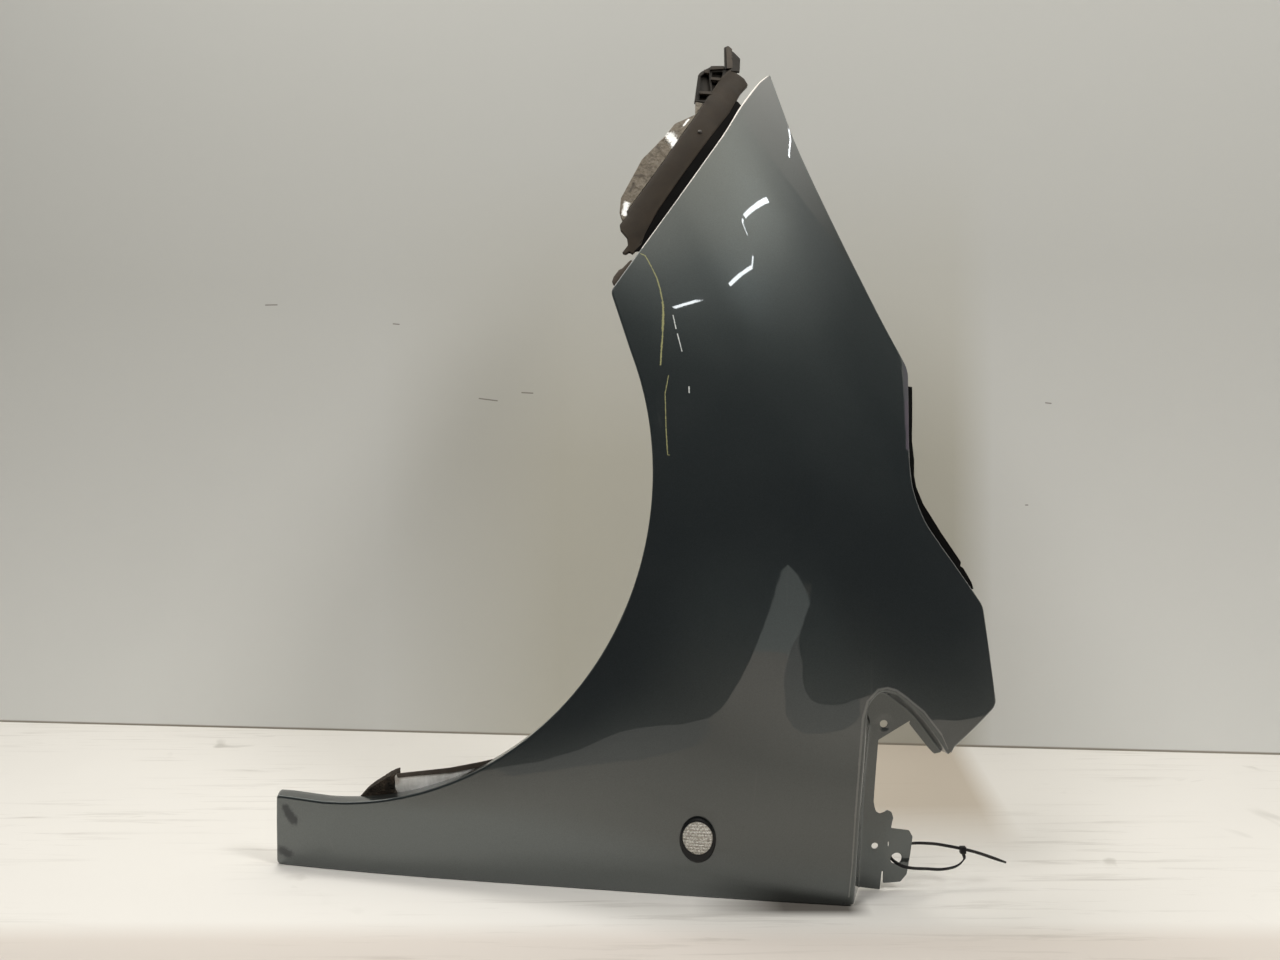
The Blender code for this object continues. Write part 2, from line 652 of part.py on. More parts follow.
def build_bracket(paint):
    front, back = BRACKET_FRONT, BRACKET_FRONT + BRACKET_DEEP
    shelf = flange_end(LAMP_FLANGE)
    bar = slab("headlamp_bracket", closed(BRACKET), lambda x, z: behind(x, z, front),
               lambda x, z: behind(x, z, back), paint["black"], spacing=0.03)
    ledge = slab("ledge", closed(BRACKET_LEDGE, 0.012), lambda x, z: behind(x, z, shelf),
                 lambda x, z: behind(x, z, shelf + LEDGE_DEEP), paint["black"], spacing=0.03)
    unite(bar, ledge)
    x, z, r = PIN
    tip = front - GAP
    slab("bracket_pin", circle(x, z, r, 12),
         lambda u, v: behind(x + 0.6 * (u - x), z + 0.6 * (v - z), tip - 0.0018),
         lambda u, v: behind(u, v, tip), paint["steel"])
    slab("bracket_blade", closed(BLADE), lambda x, z: behind(x, z, front + 0.001),
         lambda x, z: behind(x, z, front + 0.001 + BLADE_DEEP), paint["steel"])

    def crumple(x, z):
        wave = math.sin(x * 310 + z * 190) * math.sin(z * 260 - x * 170)
        return behind(x, z, front + 0.002 + 0.0014 * wave)

    side = [(x - 0.8 * FOIL_GAP, z + 0.6 * FOIL_GAP) for x, z in BRACKET[8:13]]
    slab("foil_pad", closed(FOIL + side, 0.009), crumple,
         lambda x, z: behind(x, z, front + FOIL_DEEP), paint["foil"], spacing=0.007)
    slab("bumper_clip", closed(BUMPER_CLIP, 0.012), lambda x, z: behind(x, z, shelf),
         lambda x, z: behind(x, z, shelf + CLIP_DEEP), paint["brown"])


def build_stay(paint):
    front = flange_end(ARCH_FLANGE)
    stay = slab("sill_stay", closed(STAY, 0.012), lambda x, z: behind(x, z, front),
                lambda x, z: behind(x, z, front + STAY_SHEET), paint["primer"])
    left, right = STAY[3][0], STAY[4][0]
    foot = closed([(left, 0.0), (right, 0.0), (right, STAY_SHEET), (left, STAY_SHEET)])
    base = slab("foot", foot, lambda x, z: behind(x, 0.0, front + STAY_SHEET / 2) + Vector((0, 0, z)),
                lambda x, z: behind(x, 0.0, front + FOOT_DEEP) + Vector((0, 0, z)), paint["primer"])
    unite(stay, base)

    def rough(x, z):
        return behind(x, z, front + 0.0005 * (1 + math.sin(x * 400) * math.sin(z * 500)))

    slab("arch_foam", closed(FOAM, 0.012), rough,
         lambda x, z: behind(x, z, front + FOAM_DEEP), paint["foam"], spacing=0.012)


def build_tie(paint):
    x, z, _ = TAB_HOLE
    centre = plate_point(x, z)
    path = [centre + Vector(p) for p in TIE_PATH]
    path = [Vector(p) for p in spline(path, 0.004)]
    lean = Vector((0.2, -0.6, 0.77))
    verts, faces = [], []
    for i, p in enumerate(path):
        along = (path[min(i + 1, len(path) - 1)] - path[max(i - 1, 0)]).normalized()
        wide = (lean - along * lean.dot(along)).normalized()
        thick = along.cross(wide)
        taper = 0.45 if i == len(path) - 1 else 1.0
        for a, b in ((-1, -1), (1, -1), (1, 1), (-1, 1)):
            verts.append(p + wide * a * taper * TIE_WIDTH / 2 + thick * b * TIE_THICK / 2)
    for i in range(len(path) - 1):
        for k in range(4):
            m = (k + 1) % 4
            faces.append((4 * i + k, 4 * i + m, 4 * i + 4 + m, 4 * i + 4 + k))
    n = len(verts)
    faces += [(3, 2, 1, 0), (n - 4, n - 3, n - 2, n - 1)]
    tie = make_object("cable_tie", verts, faces, paint["black"])
    head = centre + Vector(TIE_HEAD)
    half = Vector((0.0030, 0.0026, 0.0036))
    unite(tie, box("head", head - half, head + half, paint["black"]))


def clear():
    for obj in list(bpy.data.objects):
        bpy.data.objects.remove(obj, do_unlink=True)


def centre_on_floor():
    """Put the origin under the middle of the whole part."""
    graph = bpy.context.evaluated_depsgraph_get()
    graph.update()
    low, high = Vector((1e9,) * 3), Vector((-1e9,) * 3)
    parts = [o for o in bpy.data.objects if o.type == "MESH"]
    for obj in parts:
        for v in obj.evaluated_get(graph).data.vertices:
            for k in range(3):
                low[k] = min(low[k], v.co[k])
                high[k] = max(high[k], v.co[k])
    shift = Vector((-(low[0] + high[0]) / 2, -(low[1] + high[1]) / 2, -low[2]))
    for obj in parts:
        for v in obj.data.vertices:
            v.co += shift
    print("moved by", [round(c, 5) for c in shift])


def main():
    clear()
    paint = {
        "body": material("body_paint", (0.075, 0.090, 0.098), 0.25, 0.5),
        "black": material("black_plastic", (0.018, 0.017, 0.016), 0.45),
        "rubber": material("rubber", (0.02, 0.02, 0.02), 0.8),
        "lens": material("clear_lens", (0.62, 0.58, 0.50), 0.2),
        "chrome": material("reflector_plating", (0.8, 0.8, 0.8), 0.15, 1.0),
        "amber": material("amber_glass", (0.8, 0.35, 0.05), 0.2),
        "steel": material("spring_steel", (0.45, 0.45, 0.45), 0.35, 1.0),
        "brown": material("clip_plastic", (0.06, 0.045, 0.035), 0.6),
        "foil": material("foil_padding", (0.42, 0.38, 0.31), 0.35, 0.6),
        "foam": material("dark_foam", (0.035, 0.028, 0.022), 0.95),
        "primer": material("primer_grey", (0.33, 0.33, 0.31), 0.6),
    }
    build_panel(paint["body"])
    build_repeater(paint)
    build_bracket(paint)
    build_stay(paint)
    build_tie(paint)
    centre_on_floor()


main()
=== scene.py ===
import math

import bmesh
import bpy
import numpy as np
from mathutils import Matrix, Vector, noise
from mathutils.geometry import delaunay_2d_cdt
from mathutils.kdtree import KDTree


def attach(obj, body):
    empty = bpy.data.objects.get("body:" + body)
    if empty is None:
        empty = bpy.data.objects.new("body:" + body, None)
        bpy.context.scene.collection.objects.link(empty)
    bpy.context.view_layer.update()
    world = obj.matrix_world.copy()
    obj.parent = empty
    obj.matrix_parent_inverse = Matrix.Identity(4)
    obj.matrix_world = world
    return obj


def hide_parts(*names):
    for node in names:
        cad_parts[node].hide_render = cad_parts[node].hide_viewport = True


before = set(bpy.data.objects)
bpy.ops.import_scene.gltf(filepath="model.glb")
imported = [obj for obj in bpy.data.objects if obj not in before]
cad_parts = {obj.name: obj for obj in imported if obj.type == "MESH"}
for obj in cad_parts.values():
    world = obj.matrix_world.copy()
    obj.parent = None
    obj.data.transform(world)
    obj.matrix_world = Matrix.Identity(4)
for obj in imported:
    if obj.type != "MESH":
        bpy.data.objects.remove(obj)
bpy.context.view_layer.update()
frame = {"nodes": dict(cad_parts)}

bl_info = {
    "name": "Car fender studio",
    "version": (1, 0, 0),
    "blender": (4, 5, 0),
    "location": "3D View > Sidebar > Fender",
    "description": "Dresses a small car's front fender, standing on its door edge, and lights it",
    "category": "Object",
}

# The outlines below are written as x and z with x = 0 at the camera, and SHIFT moves them to the row.
SHIFT = Vector((0.0093, -0.13645, 0.0))
SHEET = 0.0009
BEND = 0.0025
# Doubles closer than MERGE become one point, and edges sharper than SHARP degrees stay hard
MERGE = 0.00001
SHARP = 38.0

# Skin depth: yaw, bow along the sill, lean, shoulder roll, arch flare and the two faint swages
YAW, YAW_X = 0.19, 0.203
BOW, BOW_X, BOW_HALF = 0.0075, -0.091, 0.295
LEAN_LOW, LEAN_HIGH, LEAN_Z0, LEAN_Z1 = -0.085, 0.44, 0.130, 0.800
ROLL, ROLL_WIDTH, ROLL_X = 0.080, 0.196, 0.397
FLARE, FLARE_WIDTH = 0.012, 0.098
ARCH_X, ARCH_Z, ARCH_R = -0.338, 0.4265, 0.350
CHAMFER_X, CHAMFER_Z, CHAMFER_LEAN, CHAMFER_DEEP = 0.2664, 0.448, 0.0495, 0.30
CHAMFER_LOW, CHAMFER_HIGH = 0.440, 0.56
SWAGES = [(0.0010, 0.168, 0.0, 0.030, 0.27, 0.13), (0.0007, 0.128, 0.5, 0.028, 0.22, 0.07)]

LEG_TOP = (-0.3905, 0.0795)
LEG_LOW = (-0.3959, 0.0)
DOOR_END = (0.2062, 0.0)
NOTCH_END = (0.3030, 0.1535)
PILLAR_CORNER = (0.3572, 0.1925)
HOOD_LOW = (0.3448, 0.2925)
HOOD_KINK = (0.2815, 0.5320)
TIP = (0.1625, 0.9255)
LAMP_LOW = (0.0005, 0.6620)
BUMPER_CORNER = (-0.0310, 0.6150)
REAR_EDGE = [DOOR_END, (0.2083, 0.044), (0.2103, 0.090), (0.2136, 0.142), (0.2163, 0.189),
             (0.2200, 0.2045), (0.2300, 0.2150), (0.2385, 0.2162), (0.2470, 0.2138),
             (0.2563, 0.2070), (0.2742, 0.1921), (0.2922, 0.1695), NOTCH_END]
HOOD_EDGE_LOW = [HOOD_LOW, (0.3166, 0.3299), (0.2983, 0.3541), (0.2841, 0.3747), (0.2759, 0.3933),
                 (0.2714, 0.4103), (0.2700, 0.4274), (0.2709, 0.4501), (0.2785, 0.5150), HOOD_KINK]
HOOD_EDGE_HIGH = [HOOD_KINK, (0.2656, 0.5650), (0.2469, 0.6096), (0.2211, 0.6807), (0.1965, 0.7588),
                  (0.1814, 0.8160), (0.1725, 0.8640), TIP]
LAMP_EDGE = [TIP, (0.1440, 0.9008), (0.1173, 0.8540), (0.0933, 0.8072), (0.0510, 0.7386), LAMP_LOW]

ARCH_FLANGE = 0.018
DOOR_FLANGE = 0.014
LEG_FLANGE = 0.010
PILLAR_FLANGE = 0.009
HOOD_FLANGE = 0.014
LAMP_FLANGE = 0.012
LIP = 0.003
LIP_DROP = 0.0008
SEAT = 0.00035
HOOD_LEDGE = 0.011
HOOD_LEDGE_END = 0.0075
LEDGE_LOW, LEDGE_TURN, LEDGE_HIGH = 0.3065, 0.3245, 0.5160

PLATE_Y = 0.040
PLATE_LEAN = -0.17
WALL_LOW, WALL_MID, WALL_NOTCH = 0.0185, 0.0140, 0.0090
PLATE_EDGE = [(0.2444, 0.0005), (0.2458, 0.0205), (0.2470, 0.0205), (0.2475, 0.0075),
              (0.2660, 0.0075), (0.2725, 0.0150), (0.2755, 0.0380), (0.2770, 0.0556),
              (0.2730, 0.0626), (0.2535, 0.0665), (0.2550, 0.0780), (0.2530, 0.0840),
              (0.2486, 0.0862), (0.2450, 0.0835), (0.2410, 0.0822), (0.2375, 0.0845),
              (0.2358, 0.0890), (0.2345, 0.0955), (0.2354, 0.1265), (0.2366, 0.1600),
              (0.2675, 0.1802), (0.2666, 0.1767), (0.2872, 0.1510), (0.2926, 0.1456)]
WALL_END = (0.2985, 0.1470)
TAB_BEND_X = 0.2490
TAB_SLOPE = 0.20
NOTCH_HOLE = (0.2416, 0.1764, 0.0038)
PLATE_HOLE = (0.2374, 0.0480, 0.0034)
TAB_HOLE = (0.2604, 0.0333, 0.0061)
TAB_SLIT = (0.2514, 0.0495, 0.0006, 0.0025)

LAMP_X, LAMP_Z = 0.0572, 0.0595
BEZEL_A, BEZEL_B = 0.0178, 0.0229
LENS_A, LENS_B = 0.0150, 0.0177
LENS_RISE = 0.0038
HOLE_A, HOLE_B = 0.0130, 0.0155

BRACKET = [(0.0021, 0.6705), (-0.0080, 0.6592), (-0.0117, 0.6619), (-0.0149, 0.6590), (-0.0192, 0.6608),
           (-0.0129, 0.6697), (-0.0140, 0.6788), (-0.0210, 0.6880), (-0.0222, 0.6950), (-0.0135, 0.7068),
           (-0.0142, 0.7114), (0.0279, 0.7765), (0.0638, 0.8371), (0.0734, 0.8562), (0.0852, 0.8785),
           (0.0992, 0.9068), (0.1121, 0.9261), (0.1285, 0.9113), (0.1323, 0.9024), (0.1218, 0.8858),
           (0.1041, 0.8471), (0.0603, 0.7764), (0.0190, 0.7103), (0.0059, 0.6825)]
BRACKET_HEAD = [(0.0636, 0.8612), (0.0668, 0.8840), (0.0697, 0.9043), (0.0727, 0.9096), (0.0775, 0.9143),
                (0.0864, 0.9230), (0.1036, 0.9284), (0.1151, 0.9314), (0.1213, 0.9194), (0.0974, 0.8694),
                (0.0843, 0.8512), (0.0763, 0.8615)]
HEAD_POCKETS = [[(0.0692, 0.8640), (0.0710, 0.8728), (0.0800, 0.8730), (0.0770, 0.8655)],
                [(0.0712, 0.8790), (0.0728, 0.9030), (0.0790, 0.9100), (0.0830, 0.9105), (0.0842, 0.8800)],
                [(0.0862, 0.8800), (0.0862, 0.8965), (0.0945, 0.8970), (0.0900, 0.8850)],
                [(0.0868, 0.9045), (0.0878, 0.9135), (0.1010, 0.9175), (0.0990, 0.9050)]]
HEAD_RIBS = [[(0.0700, 0.8772), (0.0872, 0.8790), (0.0856, 0.8740), (0.0706, 0.8728)],
             [(0.0862, 0.9032), (0.0990, 0.9046), (0.0970, 0.8994), (0.0850, 0.8980)],
             [(0.0862, 0.9222), (0.1036, 0.9275), (0.1024, 0.9215), (0.0848, 0.9150)],
             [(0.0775, 0.9138), (0.0846, 0.9152), (0.0838, 0.9090), (0.0780, 0.9085)]]
BRACKET_LEDGE = [(-0.0060, 0.6752), (0.0115, 0.7080), (0.0290, 0.7360), (0.0520, 0.7735), (0.0960, 0.8460),
                 (0.1100, 0.8700), (0.1165, 0.8700), (0.1255, 0.8570), (0.1120, 0.8369), (0.0770, 0.7700),
                 (0.0500, 0.7279), (0.0200, 0.6790), (0.0085, 0.6630), (-0.0064, 0.6622), (-0.0128, 0.6602),
                 (-0.0112, 0.6690)]
BRACKET_FRONT = 0.0115
BRACKET_DEEP = 0.011
LEDGE_DEEP = 0.0025
BLADE = [(0.1035, 0.9230), (0.1060, 0.9640), (0.1112, 0.9697), (0.1170, 0.9650), (0.1149, 0.9270)]
BLADE_FACE = [(0.1070, 0.9235), (0.1088, 0.9640), (0.1119, 0.9688), (0.1168, 0.9648), (0.1147, 0.9272)]
BLADE_BLOCK = [(0.1150, 0.9605), (0.1181, 0.9600), (0.1266, 0.9500), (0.1235, 0.9237), (0.1120, 0.9208)]
PIN = (0.0681, 0.8145, 0.0024)
FOIL = [(0.0729, 0.8565), (0.0740, 0.8590), (0.0648, 0.8604), (0.0640, 0.8410), (0.0401, 0.8265),
        (0.0278, 0.8085), (0.0020, 0.7785), (-0.0212, 0.7290), (-0.0224, 0.7104), (-0.0190, 0.6995),
        (-0.0140, 0.7064), (-0.0147, 0.7116), (0.0274, 0.7768), (0.0633, 0.8374)]
# Near-white painted highlights on the foil, where its folds catch the light, as chains of x, z and width
FOIL_PAINTED_HIGHLIGHTS = [[(0.0340, 0.8090, 0.0070), (0.0420, 0.7940, 0.0080)],
               [(-0.0150, 0.7215, 0.0042), (-0.0168, 0.7090, 0.0046)],
               [(0.0560, 0.8330, 0.0014), (0.0500, 0.8240, 0.0016)]]
FOIL_DEEP = 0.010
# Seeds the folds of the foil
FOLDS = 5
BUMPER_CLIP = [(-0.0297, 0.6280), (-0.0279, 0.6333), (-0.0224, 0.6412), (-0.0189, 0.6428),
               (-0.0101, 0.6525), (-0.0032, 0.6494), (-0.0190, 0.6231), (-0.0254, 0.6188)]
CLIP_DEEP = 0.006

STAY = [(-0.2603, 0.1050), (-0.2603, 0.0900), (-0.2400, 0.0600), (-0.2400, 0.0012), (-0.1650, 0.0012),
        (-0.1650, 0.0700), (-0.1450, 0.1150), (-0.1450, 0.1306), (-0.1665, 0.1245),
        (-0.1992, 0.1161), (-0.2412, 0.1091)]
STAY_RIM = [(-0.2590, 0.1064), (-0.2410, 0.1096), (-0.1990, 0.1168), (-0.1640, 0.1255), (-0.1450, 0.1312),
            (-0.1450, 0.1262), (-0.1700, 0.1185), (-0.1990, 0.1112), (-0.2410, 0.1048), (-0.2570, 0.1020)]
STAY_SHEET = 0.0012
FOOT_DEEP = 0.030
FOAM = [(-0.3016, 0.0250), (-0.2615, 0.0250), (-0.2615, 0.0900), (-0.2606, 0.1062), (-0.2700, 0.1010),
        (-0.2828, 0.0928), (-0.2940, 0.0850), (-0.3016, 0.0780)]
FOAM_DEEP = 0.028

TIE_WIDTH = 0.0038
TIE_THICK = 0.0014
TIE_PATH = [(0.0708, 0.0094, 0.0032), (0.0719, 0.0094, -0.0043), (0.0633, 0.0074, -0.0108),
            (0.0476, 0.0034, -0.0124), (0.0311, -0.0006, -0.0103), (0.0171, -0.0031, -0.0088),
            (0.0056, -0.0041, -0.0063), (-0.0026, 0.0006, -0.0025), (-0.0049, 0.0049, 0.0012),
            (-0.0009, 0.0089, 0.0057), (0.0076, 0.0104, 0.0092), (0.0206, 0.0104, 0.0117),
            (0.0401, 0.0099, 0.0114), (0.0556, 0.0094, 0.0092), (0.0706, 0.0094, 0.0062),
            (0.0876, 0.0099, 0.0017), (0.1156, 0.0109, -0.0083)]
TIE_HEAD = (0.0708, 0.0094, 0.0052)

# Marks on the skin as x, z and width: yellow transfer scratches, a dashed pale line that also takes the coat off, dark
# rub marks
YELLOW = [[(0.0005, 0.6560, 0.0006), (0.0055, 0.6535, 0.0007), (0.0112, 0.6420, 0.0008),
           (0.0170, 0.6290, 0.0008), (0.0208, 0.6150, 0.0009), (0.0233, 0.6010, 0.0011),
           (0.0238, 0.5880, 0.0019), (0.0232, 0.5700, 0.0015), (0.0205, 0.5340, 0.0009)],
          [(0.0285, 0.5225, 0.0006), (0.0250, 0.5040, 0.0007), (0.0258, 0.4680, 0.0007),
           (0.0272, 0.4430, 0.0008), (0.0290, 0.4425, 0.0006)]]
PALE = [[(0.0338, 0.5860, 0.0008), (0.0365, 0.5720, 0.0007)], [(0.0380, 0.5660, 0.0008), (0.0422, 0.5480, 0.0007)],
        [(0.0488, 0.5110, 0.0009), (0.0490, 0.5050, 0.0007)]]
RUBS = [[(-0.3800, 0.0660, 0.0050), (-0.3770, 0.0600, 0.0075), (-0.3715, 0.0530, 0.0085)],
        [(-0.3870, 0.0165, 0.0070), (-0.3800, 0.0140, 0.0080)], [(0.1990, 0.0022, 0.0018), (0.1995, 0.0032, 0.0018)]]
# Painted highlights on the skin as x, z and width: a near-white line along the headlamp edge, and grey lines along the
# right edge, the hood edge and the cowl edge, where the rolled bends catch the light
LAMP_EDGE_PAINTED_HIGHLIGHT = [[(0.1600, 0.9225, 0.0019), (0.1440, 0.9008, 0.0022), (0.1173, 0.8540, 0.0024),
                (0.0933, 0.8072, 0.0024), (0.0510, 0.7386, 0.0024), (0.0015, 0.6636, 0.0019)]]
RIGHT_EDGE_PAINTED_HIGHLIGHT = [[(0.3560, 0.1950, 0.0016), (0.3530, 0.2300, 0.0017), (0.3440, 0.2905, 0.0014)]]
HOOD_EDGE_PAINTED_HIGHLIGHT = [[(x, z, 0.0007) for x, z in HOOD_EDGE_LOW[1:6]] + [(0.2700, 0.4300, 0.0006)]]
COWL_EDGE_PAINTED_HIGHLIGHT = [[(0.2045, 0.0100, 0.0008), (0.2072, 0.0440, 0.0010), (0.2092, 0.0900, 0.0012),
              (0.2122, 0.1420, 0.0015), (0.2150, 0.1880, 0.0017), (0.2196, 0.2050, 0.0015),
              (0.2296, 0.2160, 0.0015), (0.2385, 0.2176, 0.0015), (0.2475, 0.2150, 0.0015),
              (0.2570, 0.2082, 0.0015), (0.2752, 0.1932, 0.0014), (0.2932, 0.1705, 0.0011),
              (0.3000, 0.1560, 0.0003)]]
# Painted highlight on the chamfer facet below the hood kink, as x, z and width: a dull purple-grey patch that stands in
# for the facet's lighter look
FACET_PAINTED_HIGHLIGHT = [[(0.2775, 0.5390, 0.0050), (0.2750, 0.5150, 0.0056), (0.2735, 0.4970, 0.0055)]]
FACET_LOW_PAINTED_HIGHLIGHT = [[(0.2730, 0.4960, 0.0052), (0.2705, 0.4700, 0.0042), (0.2682, 0.4500, 0.0022)]]
HOOD_BLACK_STRIP = [(0.2912, 0.5176), (0.2826, 0.4650), (0.2782, 0.4228), (0.2795, 0.4109), (0.2862, 0.3937),
             (0.3050, 0.3645), (0.3268, 0.3345), (0.3256, 0.3302), (0.3288, 0.3288), (0.3342, 0.3205),
             (0.3388, 0.3128), (0.3405, 0.3067), (0.3300, 0.3067), (0.2980, 0.3450), (0.2780, 0.3830),
             (0.2690, 0.4100), (0.2650, 0.4300), (0.2660, 0.4700), (0.2740, 0.5176)]

# What the clear coat mirrors in front of the panel, as x and y on the floor
DARK_LEFT = [(-3.2, -0.05), (-0.70, -0.170), (-0.409, -0.237), (-0.349, -0.288), (-0.262, -0.300),
             (-0.182, -0.305), (-0.123, -0.330), (-0.072, -0.378), (-0.031, -0.405), (0.002, -0.432),
             (0.030, -0.478), (0.045, -0.528), (0.053, -0.574), (0.059, -0.629), (0.065, -0.695),
             (0.068, -0.774), (0.070, -0.870), (0.069, -0.988), (0.066, -1.137), (0.063, -1.328),
             (0.055, -1.579), (0.046, -1.923), (0.031, -2.422), (0.028, -2.6), (0.028, -4.0), (-4.0, -4.0)]
DARK_RIGHT = [(0.151, -4.0), (0.151, -2.6), (0.160, -2.120), (0.157, -1.727), (0.152, -1.449),
              (0.146, -1.246), (0.142, -1.098), (0.142, -0.911), (0.138, -0.840), (0.137, -0.782),
              (0.139, -0.742), (0.147, -0.704), (0.157, -0.695), (0.171, -0.706), (0.190, -0.728),
              (0.222, -0.765), (0.290, -0.827), (0.379, -0.900), (0.600, -0.840), (0.784, -0.800),
              (0.967, -0.790), (1.171, -0.720), (1.489, -0.620), (1.600, -0.540), (4.0, -0.10), (4.0, -4.0)]
GREY_LEFT = DARK_LEFT[4:11] + [(0.034, -0.440), (0.020, -0.395), (-0.007, -0.356), (-0.036, -0.322),
                               (-0.082, -0.297), (-0.137, -0.280), (-0.211, -0.268)]
GREY_RIGHT = DARK_RIGHT[5:17] + [(0.267, -0.713), (0.192, -0.611), (0.162, -0.565), (0.136, -0.543),
                                 (0.118, -0.560), (0.105, -0.606), (0.108, -0.719), (0.122, -0.900),
                                 (0.133, -1.080)]
PALE_FAR = [(0.070, -0.960)] + DARK_LEFT[17:24] + DARK_RIGHT[1:7] + [(0.142, -0.960)]
PALE_TIP = [(0.028, 0.0), (0.033, 0.063), (0.045, 0.148), (0.053, 0.216), (0.072, 0.277),
            (0.104, 0.193), (0.128, 0.105), (0.150, 0.015), (0.151, 0.0)]
# Ceiling tubes, as x and y of the two ends and the half-width
TUBES = [((1.453, 1.026), (1.470, 0.847), 0.005), ((1.470, 0.847), (1.445, 0.597), 0.005),
         ((1.130, -0.255), (0.960, -0.470), 0.017), ((0.960, -0.470), (0.757, -0.713), 0.015),
         ((0.726, -0.755), (0.704, -0.800), 0.009), ((0.704, -0.800), (0.736, -0.890), 0.006),
         ((0.747, -1.087), (0.692, -1.235), 0.008), ((0.692, -1.235), (0.460, -1.440), 0.017),
         ((0.460, -1.440), (0.224, -1.650), 0.019), ((-0.100, -1.885), (-0.215, -1.952), 0.016)]
CEILING_Z = 2.8

# Moulded finishes: name, colour, dust colour, roughness, dust cover, grain scale, edge colour and shine
DUSTY = (0.05, 0.048, 0.045)
WORN = (0.12, 0.11, 0.10)
MOULDED = {
    "bracket": ("Dusty moulded plastic", (0.024, 0.0175, 0.012), (0.055, 0.042, 0.030), 0.6, 0.5, 1400.0,
                (0.07, 0.055, 0.04)),
    "box": ("Dark box plastic", (0.016, 0.0135, 0.011), (0.05, 0.042, 0.034), 0.6, 0.5, 1400.0, (0.03, 0.025, 0.02)),
    # Near-black and barely shiny: on the bracket's ledge this is painted shade for the recess behind the headlamp edge,
    # and the hood ledge's strip wears it too
    "seal": ("Black seal", (0.0045, 0.0042, 0.004), (0.012, 0.011, 0.010), 0.8, 0.3, 700.0, (0.01, 0.01, 0.01), 0.06),
    "black": ("Gloss black plastic", (0.010, 0.010, 0.010), DUSTY, 0.32, 0.25, 2200.0),
    "nylon": ("Black nylon", (0.009, 0.009, 0.010), DUSTY, 0.45, 0.2, 2600.0, WORN, 0.12),
    "rubber": ("Rubber", (0.012, 0.012, 0.012), (0.05, 0.05, 0.05), 0.8, 0.4),
    "brown": ("Brown clip plastic", (0.055, 0.043, 0.033), (0.12, 0.10, 0.08), 0.6, 0.5),
}

# The bolt plate: the points of a round hole and the spacing inside it. The stay's rib and holes, and the foam's middle
HOLE_SIDES = 32
PLATE_PITCH = 0.0032
STAY_RIB_X = -0.2025
STAY_HOLES = [(STAY_RIB_X, 0.093, 0.0042, 24), (-0.225, 0.072, 0.003, 20)]
FOOT_STEPS = 24
FOAM_MIDDLE = (-0.2830, 0.062)
# The tie: how the strap lies, its teeth, the points of its tapered tail, and its head's size, bevel and socket
TIE_LEAN = Vector((0.2, -0.6, 0.77))
TOOTH, TOOTH_PITCH, TAIL = 0.00022, 0.0011, 24
TIE_BLOCK = (0.0060, 0.0052, 0.0072)
TIE_BEVEL, TIE_LIP, TIE_SOCKET = 0.0008, 0.0009, 0.0011

# The bezel's face, as steps in from its rim, height above the skin's gap and rise
BEZEL_LOW = 0.0013
BEZEL_FACE = [(0.0002, 0.0002, 0.0, 0.0), (0.0, 0.0, 0.0002, 0.0), (0.0, 0.0, 0.0013, 0.0),
              (0.0002, 0.0003, 0.0021, 0.0001), (0.0006, 0.0008, 0.0028, 0.0001), (0.0011, 0.0016, 0.0034, 0.0003),
              (0.0016, 0.0025, 0.0037, 0.0005), (0.0021, 0.0034, 0.0037, 0.0007)]
LENS_GAP = 0.0003
# The lens: where its beaded border starts, how many beads run round it and how far apart its ribs are
BEAD_START, BEADS, LENS_RIB = 0.80, 34, 0.0026
# The bulb socket's turned outline, as radius and depth behind the skin
SOCKET = [(0, 0.0123), (0.0086, 0.0123), (0.0090, 0.0127), (0.0090, 0.0150), (0.0082, 0.0153), (0.0082, 0.0160),
          (0.0090, 0.0163), (0.0090, 0.0186), (0.0086, 0.0190), (0.0060, 0.0190), (0.0058, 0.0200),
          (0.0060, 0.0204), (0.0060, 0.0246), (0.0056, 0.0250)]
PLUG = [(0.0040, 0.0030, -0.0250, 0.0), (0.0038, 0.0028, -0.0225, 0.0), (0, 0, -0.0225, 0.0)]

# The stay's foot in section, as depth behind the arch flange and height
FOOT_SECTION = [(0.0002, 0.0034), (0.0002, 0.0013), (0.0008, 0.0004), (0.0020, 0.0), (FOOT_DEEP, 0.0),
                (FOOT_DEEP, STAY_SHEET), (0.0034, STAY_SHEET), (0.0022, 0.0020), (0.0014, 0.0034)]
# The rivet's head, as shares of its radius and lifts above the bar
RIVET_HEAD = [(1.0, 0.0), (1.0, 0.0007), (0.82, 0.0013), (0.45, 0.0018), (0.0, 0.0019)]
RIVET_SIDES = 24
# The strap's section, as half-widths, half-thicknesses and whether the teeth cut it
STRAP_SECTION = [(-1.0, -0.5, 0), (-0.86, -1.0, 0), (-0.5, -1.0, 1), (0.5, -1.0, 1), (0.86, -1.0, 0),
                 (1.0, -0.5, 0), (1.0, 0.5, 0), (0.86, 1.0, 0), (-0.86, 1.0, 0), (-1.0, 0.5, 0)]

